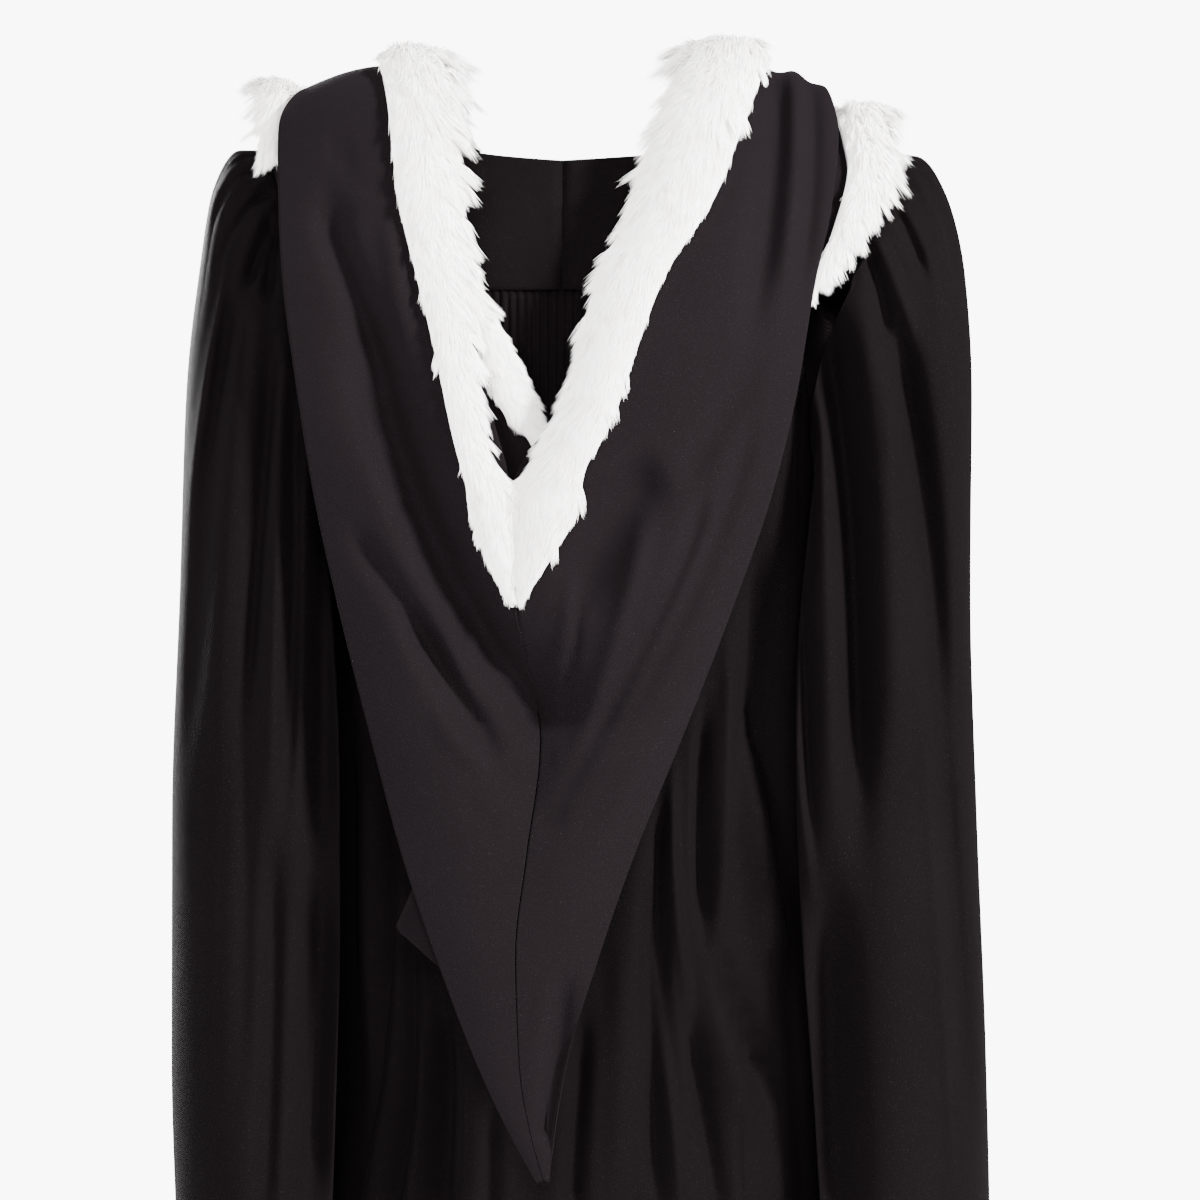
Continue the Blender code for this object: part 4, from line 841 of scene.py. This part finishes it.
def hair_band(context, table, stations, at_outer, creases, band, seed):
    """A fur band: a low closed pad and, over it, tufts of hair that lie down the band and spill past its free edge."""
    gown = context.scene.gown
    points, normals, pile, along, sideways, at = band_grid(
        table, stations, at_outer, creases, 120, 11, gown.fur_inset, band.joined_from
    )
    rows, columns = points.shape[:2]
    dome = np.sin(np.linspace(0.10, 0.90, columns) * math.pi) ** 0.7
    top = points + normals * (0.0008 + pile * dome * 0.60)[..., None]
    base = np.concatenate([top, (points + normals * 0.0008)[:, ::-1]], axis=1)
    rng = np.random.default_rng(seed)
    count = int(band.hairs * gown.fur_density * (1))
    span = np.linalg.norm(np.diff(points[:, columns // 2], axis=0), axis=1)
    breadth = np.linalg.norm(points[:, -1] - points[:, 0], axis=1) + 0.003
    weight = np.concatenate([[0], np.cumsum(span * (breadth[1:] + breadth[:-1]) / 2)])
    row = np.interp(rng.random(count) * weight[-1], weight, np.arange(rows))
    row = np.minimum(row, rows - 3.0 + 0.6 * rng.random(count))
    column = rng.beta(0.85, 0.95, count) * (columns - 1)

    def sample(grid):
        r = np.clip(row.astype(int), 0, rows - 2)
        c = np.clip(column.astype(int), 0, columns - 2)
        fr, fc = (row - r)[:, None], (column - c)[:, None]
        if grid.ndim == 2:
            grid = grid[..., None]
        return (
            grid[r, c] * (1 - fr) * (1 - fc) + grid[r + 1, c] * fr * (1 - fc)
            + grid[r, c + 1] * (1 - fr) * fc + grid[r + 1, c + 1] * fr * fc
        )

    root, normal, down, inward = sample(top), sample(normals), sample(along), sample(sideways)
    depth = sample(np.broadcast_to(pile, (rows, columns)))[:, 0]
    row_at = np.interp(row, np.arange(rows), at)
    place = column / (columns - 1)
    # each hair belongs to the tuft of its nearest leader and shares that one's turn, length and bend
    tufts = max(8, count // HAIRS_PER_TUFT)
    leaders = rng.choice(count, tufts, replace=False)
    tree = kdtree.KDTree(tufts)
    for i, leader in enumerate(leaders):
        tree.insert(root[leader], i)
    tree.balance()
    tuft = np.array([tree.find(point)[1] for point in root])
    leader = leaders[tuft]
    turn = rng.normal(0, 0.20, tufts)[tuft] + rng.normal(0, 0.14, count)
    bend = rng.normal(0, 0.20, tufts)[tuft]
    long = (0.80 + 0.45 * rng.random(tufts))[tuft] * (0.80 + 0.35 * rng.random(count))
    stray = (rng.random(tufts) < 0.05)[tuft]
    # behind the shoulder the hair runs down the band, and in front of it the other way, which is down too
    way = np.clip((row_at - 3.4) / 0.8, -1, 1)
    outside = ease(place, 0.55, 1.0)
    lean = band.lean_in * np.clip(1 - place * 1.5, 0.0, 1) * (1 - ease(row_at, band.joined_from - 0.6, band.joined_from))
    sway = (turn + 0.18 * np.sin(row_at * 4.3 + 5 * place + seed)) * (1 - 0.75 * outside) - 0.06 * outside
    sway = np.where(stray & (place > 0.7), 0.55, sway)
    lie = down * way[:, None] + inward * (sway - lean)[:, None]
    lie[:, 2] -= 0.12
    lie /= np.linalg.norm(lie, axis=1, keepdims=True)
    length = (depth * band.length * long * (1 + 0.25 * np.clip(1 - 3 * place, 0, 1)) * (1 - 0.40 * outside))[:, None]
    up = np.clip(normal[:, 2], 0, 1)
    lift = (band.lift * (0.7 + 0.6 * rng.random(count)) * (1 + 0.8 * up) * (1 - 0.45 * outside))[:, None]
    steps = (0.0, 0.55, 1.0)
    spine = np.stack([
        root + lie * length * t + normal * length * (t - 0.55 * t * t) * lift
        + inward * length * (bend * t * t)[:, None] * 0.5 - np.array([0, 0, 1.0]) * band.flop * t * t * length
        for t in steps
    ], axis=1)
    pull = (0.10 + 0.30 * rng.random(count) + 0.40 * (1 - ease(place, 0.10, 0.30)))[:, None]
    for i, t in enumerate(steps):
        gathered = spine[leader, i] + (root - root[leader]) * (1 - 0.70 * t)
        spine[:, i] += (gathered - spine[:, i]) * pull * t**1.2
    fray = rng.standard_normal((count, 3)) * 0.055 * length
    spine[:, 1] += fray * 0.4
    spine[:, 2] += fray
    flat = np.cross(spine[:, 2] - spine[:, 0], normal)
    flat /= np.maximum(np.linalg.norm(flat, axis=1, keepdims=True), 1e-9)
    roll = rng.normal(0, 0.5, (count, 1))
    flat = flat * np.cos(roll) + normal * np.sin(roll)
    half = gown.hair_width * 0.5 * (0.7 + 0.6 * rng.random((count, 1)))
    ribbon = np.stack([
        spine[:, 0] - flat * half, spine[:, 0] + flat * half,
        spine[:, 1] - flat * half * 0.8, spine[:, 1] + flat * half * 0.8,
        spine[:, 2],
    ], axis=1)
    shading = normal * 0.9 + lie * 0.30 + inward * (place[:, None] - 0.5) * 0.8
    shading /= np.linalg.norm(shading, axis=1, keepdims=True)
    return base, ribbon, shading


def fur_object(context, name, base, ribbon, shading, node_name):
    """One mesh of a band's pad and hair, shaded as one soft coat."""
    rows, columns = base.shape[:2]
    index = np.arange(rows * columns).reshape(rows, columns)
    closed = np.concatenate([index, index[:, :1]], axis=1)
    quads = np.stack([closed[:-1, :-1], closed[1:, :-1], closed[1:, 1:], closed[:-1, 1:]], axis=-1).reshape(-1, 4)
    count = len(ribbon)
    start = rows * columns + np.arange(count)[:, None] * 5
    tip = start + np.array([[2, 3, 4]])
    four = np.concatenate([quads, start + np.array([[0, 1, 3, 2]])])
    vertices = np.concatenate([base.reshape(-1, 3), ribbon.reshape(-1, 3)])
    loops = np.concatenate([four.reshape(-1), tip.reshape(-1)])
    sizes = np.concatenate([np.full(len(four), 4), np.full(len(tip), 3)])
    starts = np.concatenate([[0], np.cumsum(sizes)[:-1]])
    mesh = bpy.data.meshes.new(name)
    mesh.vertices.add(len(vertices))
    mesh.vertices.foreach_set("co", vertices.reshape(-1).astype(np.float32))
    mesh.loops.add(len(loops))
    mesh.loops.foreach_set("vertex_index", loops.astype(np.int32))
    mesh.polygons.add(len(sizes))
    mesh.polygons.foreach_set("loop_start", starts.astype(np.int32))
    mesh.update(calc_edges=True)
    mesh.shade_smooth()
    coat = np.repeat(shading, 5, axis=0)
    pad = np.zeros((rows * columns, 3))
    mesh.normals_split_custom_set_from_vertices(np.concatenate([pad, coat]).tolist())
    mesh.materials.append(white_fur(context))
    thing = bpy.data.objects.new(name, mesh)
    context.scene.collection.objects.link(thing)
    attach(thing, "root")
    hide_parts(node_name)
    return thing


# Hairs of a band, how far they lean to the free edge, how they lift, their length in piles, their fall, and
# the row of the hood from which two bands are joined
V_HAIR = Band(50000, 0.90, 0.38, 1.15, 0.25, 9.0)
INNER_HAIR = Band(15000, 0.90, 0.40, 1.30, 0.25, 99)
CAPE_HAIR = Band(20000, 1.10, 0.55, 1.15, 0.30, 99)


def tone(name, about, value):
    return bpy.props.FloatVectorProperty(name=name, description=about, default=value, subtype="COLOR", min=0, max=1)


class GownSettings(bpy.types.PropertyGroup):
    """Sizes and colours of the gown."""

    cloth: bpy.props.FloatProperty(
        name="Cloth thickness", description="Wall of every panel", default=0.0012, min=0.0004, max=0.003, unit="LENGTH"
    )
    fur_inset: bpy.props.FloatProperty(
        name="Fur margin", description="Room left at a band's edges for the hair", default=0.008,
        min=0, max=0.02, unit="LENGTH",
    )
    hair_width: bpy.props.FloatProperty(
        name="Hair width", description="Width of a lock of hair at its root", default=0.0006,
        min=0.0002, max=0.002, unit="LENGTH",
    )
    fur_density: bpy.props.FloatProperty(
        name="Fur density", description="Share of the full number of hairs", default=1.0, min=0.05, max=1.0
    )
    gown_colour: tone("Gown", "Light tone of the gown's cloth", (0.0024, 0.0018, 0.0020))
    gown_shade: tone("Gown shade", "Dark tone of the gown's cloth", (0.0016, 0.0012, 0.0013))
    hood_colour: tone("Hood", "Light tone of the hood's cloth", (0.0036, 0.0026, 0.0031))
    hood_shade: tone("Hood shade", "Dark tone of the hood's cloth", (0.0026, 0.0018, 0.0022))
    fur_colour: tone("Fur", "Light tone of the fur", (0.92, 0.895, 0.88))
    fur_shade: tone("Fur shade", "Dark tone of the fur", (0.84, 0.80, 0.78))


def outward(points):
    return turned_to(points, points * np.array([1, 1, 0]))


class BackBuilder(bpy.types.Operator):
    """Build the back panel with its gathers and long folds"""

    bl_idname = "gown.back"
    bl_label = "Back"

    def execute(self, context):
        points = outward(back_panel())
        back = cloth_piece(context, "gown_back", points, gown_cloth(context), "back_panel")
        return {"FINISHED"}


class YokeBuilder(bpy.types.Operator):
    """Build the two halves of the yoke"""

    bl_idname = "gown.yoke"
    bl_label = "Yoke"

    def execute(self, context):
        for name, side in (("left", 1), ("right", -1)):
            points = outward(yoke_half(side))
            half = cloth_piece(context, f"gown_yoke_{name}", points, gown_cloth(context), f"yoke_{name}")
        return {"FINISHED"}


class FrontBuilder(bpy.types.Operator):
    """Build the two open fronts"""

    bl_idname = "gown.fronts"
    bl_label = "Fronts"

    def execute(self, context):
        for name, side in (("left", 1), ("right", -1)):
            points = outward(front_panel(side))
            front = cloth_piece(context, f"gown_front_{name}", points, gown_cloth(context), f"front_{name}")
        return {"FINISHED"}


class SleeveBuilder(bpy.types.Operator):
    """Build the two gathered hanging sleeves"""

    bl_idname = "gown.sleeves"
    bl_label = "Sleeves"

    def execute(self, context):
        for name, side, rings, folds in (
            ("left", 1, LEFT_SLEEVE, SLEEVE_LEFT), ("right", -1, RIGHT_SLEEVE, SLEEVE_RIGHT),
        ):
            points = sleeve_points(rings, folds, side, 200, 84)
            points = points if side > 0 else points[:, ::-1]
            sleeve = cloth_piece(context, f"gown_sleeve_{name}", points, gown_cloth(context), f"sleeve_{name}", True)
        return {"FINISHED"}


class CowlBuilder(bpy.types.Operator):
    """Build the hood's two outer halves with their folds and turned edges"""

    bl_idname = "gown.cowl"
    bl_label = "Hood cowl"

    def execute(self, context):
        across = np.concatenate([np.linspace(0, 1, 64), np.linspace(1, 2, 14)[1:]])
        for name, table, folds in (("left", LEFT_COWL, HOOD_LEFT), ("right", RIGHT_COWL, HOOD_RIGHT)):
            rows = np.linspace(0, len(table) - 1, 150)
            points = hood_points(table, across, rows, UNDERTURN, folds)
            points = turned_to(points, facing(table, rows))
            cowl = cloth_piece(context, f"hood_side_{name}", points, hood_cloth(context), f"hood_cowl_{name}")
        return {"FINISHED"}


class CapeBuilder(bpy.types.Operator):
    """Build the hood's two under halves, which lie on the shoulders"""

    bl_idname = "gown.cape"
    bl_label = "Hood cape"

    def execute(self, context):
        for name, table in (("left", LEFT_CAPE), ("right", RIGHT_CAPE)):
            rows = np.linspace(0, len(table) - 1, 110)
            points = hood_points(table, np.linspace(0, 1, 34), rows)
            # the flap that shows beside the hood has straight edges and a pointed corner
            for first in (12, 13):
                ends = hood_points(table, np.linspace(0, 1, 34), [first, first + 1])
                within = (rows >= first) & (rows <= first + 1)
                share = (rows[within] - first)[:, None, None]
                points[within] = ends[0] + (ends[1] - ends[0]) * share
            points = turned_to(points, facing(table, rows))
            cape = cloth_piece(context, f"hood_under_{name}", points, hood_cloth(context), f"hood_cape_{name}")
        return {"FINISHED"}


class NeckbandBuilder(bpy.types.Operator):
    """Build the short band that joins the hood's front ends"""

    bl_idname = "gown.neckband"
    bl_label = "Neckband"

    def execute(self, context):
        across = np.linspace(0, 1, 20)
        left = hood_points(LEFT_COWL, across, [0])[0]
        right = hood_points(RIGHT_COWL, across, [0])[0]
        left[:, 0] -= SEAM_GAP
        right[:, 0] += SEAM_GAP
        share = np.linspace(0, 1, 36)[None, :, None]
        points = left[:, None] + (right - left)[:, None] * share
        sag = np.sin(share[..., 0] * math.pi)
        points[..., 2] -= 0.010 * sag
        points[..., 1] -= 0.002 * sag
        points = turned_to(points, np.array([0, -1, 0]))
        band = cloth_piece(context, "hood_front_band", points, hood_cloth(context), "hood_neckband")
        return {"FINISHED"}


class EdgeFurBuilder(bpy.types.Operator):
    """Build the wide fur along the hood's inner edge, over the shoulders and down to the V"""

    bl_idname = "gown.fur_v"
    bl_label = "Edge fur"

    def execute(self, context):
        for name, table, stations, folds, extra, seed in (
            ("left", LEFT_COWL, V_FUR_LEFT, HOOD_LEFT, 0, 11), ("right", RIGHT_COWL, V_FUR_RIGHT, HOOD_RIGHT, 6000, 12),
        ):
            hair = V_HAIR._replace(hairs=V_HAIR.hairs + extra)
            base, ribbon, coat = hair_band(context, table, stations, False, folds, hair, seed)
            fur_object(context, f"fur_edge_{name}", base, ribbon, coat, f"fur_v_{name}")
        return {"FINISHED"}


class InnerFurBuilder(bpy.types.Operator):
    """Build the narrow fur that shows inside the V"""

    bl_idname = "gown.fur_inner"
    bl_label = "Inner fur"

    def execute(self, context):
        for name, table, stations, seed in (
            ("left", LEFT_CAPE, INNER_FUR_LEFT, 21), ("right", RIGHT_CAPE, INNER_FUR_RIGHT, 22),
        ):
            base, ribbon, coat = hair_band(context, table, stations, False, (), INNER_HAIR, seed)
            fur_object(context, f"fur_lining_{name}", base, ribbon, coat, f"fur_inner_{name}")
        return {"FINISHED"}


class ShoulderFurBuilder(bpy.types.Operator):
    """Build the fur along the outer edge of the under cloth, on the shoulders"""

    bl_idname = "gown.fur_cape"
    bl_label = "Shoulder fur"

    def execute(self, context):
        for name, table, stations, seed in (
            ("left", LEFT_CAPE, CAPE_FUR_LEFT, 31), ("right", RIGHT_CAPE, CAPE_FUR_RIGHT, 32),
        ):
            base, ribbon, coat = hair_band(context, table, stations, True, (), CAPE_HAIR, seed)
            fur_object(context, f"fur_shoulder_{name}", base, ribbon, coat, f"fur_cape_{name}")
        return {"FINISHED"}


class StageBuilder(bpy.types.Operator):
    """Set the round pale floor, the white surroundings, the soft lights and the camera"""

    bl_idname = "gown.stage"
    bl_label = "Stage"

    def execute(self, context):
        scene = context.scene
        paper, tree, shader = new_material("stage_paper")
        grain = node(tree, "ShaderNodeTexNoise", in_Scale=3.0, in_Detail=1.0)
        range_ = node(tree, "ShaderNodeMapRange")
        range_.inputs["To Min"].default_value = 0.90
        range_.inputs["To Max"].default_value = 0.94
        tree.links.new(grain.outputs["Fac"], range_.inputs["Value"])
        tree.links.new(range_.outputs["Result"], shader.inputs["Base Color"])
        shader.inputs["Roughness"].default_value = 0.9
        turn = np.linspace(0, 2 * math.pi, 97)
        rim = np.stack([np.cos(turn), np.sin(turn), 0 * turn], axis=-1)
        points = np.array([rim * 0.02, rim * FLOOR_RADIUS]) + [0, 0, FLOOR_Z]
        mesh = grid_mesh("stage_floor", points)
        mesh.materials.append(paper)
        floor = bpy.data.objects.new("stage_floor", mesh)
        scene.collection.objects.link(floor)
        for name, place, size, power in (
            ("key", (-2.3, 1.75, 1.1), 0.6, 720.0),
            ("fill", (1.3, 3.1, 0.55), 1.2, 140.0),
            ("side", (-0.2, 3.7, 0.7), 1.4, 270.0),
            ("top", (-0.3, 0.9, 2.4), 1.2, 20.0),
            ("front", (1.6, -2.8, 0.6), 1.2, 700.0),
            ("left", (2.7, 0.5, 0.8), 1.2, 130.0),
        ):
            light = bpy.data.lights.new(f"stage_{name}", "AREA")
            light.shape = "DISK"
            light.size = size
            light.energy = power
            lamp = bpy.data.objects.new(f"stage_{name}", light)
            lamp.location = place
            aim = Vector((0, 0, -0.45)) - Vector(place)
            lamp.rotation_euler = aim.to_track_quat("-Z", "Y").to_euler()
            scene.collection.objects.link(lamp)
        camera = bpy.data.objects.new("stage_camera", bpy.data.cameras.new("stage_camera"))
        camera.data.lens = 124.7
        camera.data.clip_end = 100
        camera.location = (-0.01925, 3.32, -0.343)
        camera.rotation_euler = (math.radians(90), 0, math.radians(180))
        scene.collection.objects.link(camera)
        scene.camera = camera
        world = bpy.data.worlds.new("stage_world")
        world.use_nodes = True
        tree = world.node_tree
        glow = tree.nodes["Background"]
        glow.inputs["Color"].default_value = (0.94, 0.95, 1.0, 1)
        glow.inputs["Strength"].default_value = 0.12
        # the camera sees white surroundings that give no light of their own
        white = node(tree, "ShaderNodeBackground", in_Strength=9.0)
        white.inputs["Color"].default_value = (1, 1, 1, 1)
        mix = node(tree, "ShaderNodeMixShader")
        tree.links.new(node(tree, "ShaderNodeLightPath").outputs["Is Camera Ray"], mix.inputs["Fac"])
        tree.links.new(glow.outputs["Background"], mix.inputs[1])
        tree.links.new(white.outputs["Background"], mix.inputs[2])
        tree.links.new(mix.outputs["Shader"], tree.nodes["World Output"].inputs["Surface"])
        scene.world = world
        return {"FINISHED"}


BUILDERS = (
    BackBuilder, YokeBuilder, FrontBuilder, SleeveBuilder, CowlBuilder, CapeBuilder,
    NeckbandBuilder, EdgeFurBuilder, InnerFurBuilder, ShoulderFurBuilder, StageBuilder,
)


class GownPanel(bpy.types.Panel):
    """Buttons and sizes of the gown"""

    bl_idname = "VIEW3D_PT_gown"
    bl_label = "Graduation gown"
    bl_space_type = "VIEW_3D"
    bl_region_type = "UI"
    bl_category = "Gown"

    def draw(self, context):
        gown = context.scene.gown
        for name in GownSettings.__annotations__:
            self.layout.prop(gown, name)
        for builder in BUILDERS:
            self.layout.operator(builder.bl_idname)


CLASSES = (GownSettings, *BUILDERS, GownPanel)


def register():
    for item in CLASSES:
        bpy.utils.register_class(item)
    bpy.types.Scene.gown = bpy.props.PointerProperty(type=GownSettings)


def unregister():
    del bpy.types.Scene.gown
    for item in reversed(CLASSES):
        bpy.utils.unregister_class(item)


def main():
    register()
    bpy.ops.gown.back()
    bpy.ops.gown.yoke()
    bpy.ops.gown.fronts()
    bpy.ops.gown.sleeves()
    bpy.ops.gown.cowl()
    bpy.ops.gown.cape()
    bpy.ops.gown.neckband()
    bpy.ops.gown.fur_v()
    bpy.ops.gown.fur_inner()
    bpy.ops.gown.fur_cape()
    bpy.ops.gown.stage()


if __name__ == "__main__":
    main()
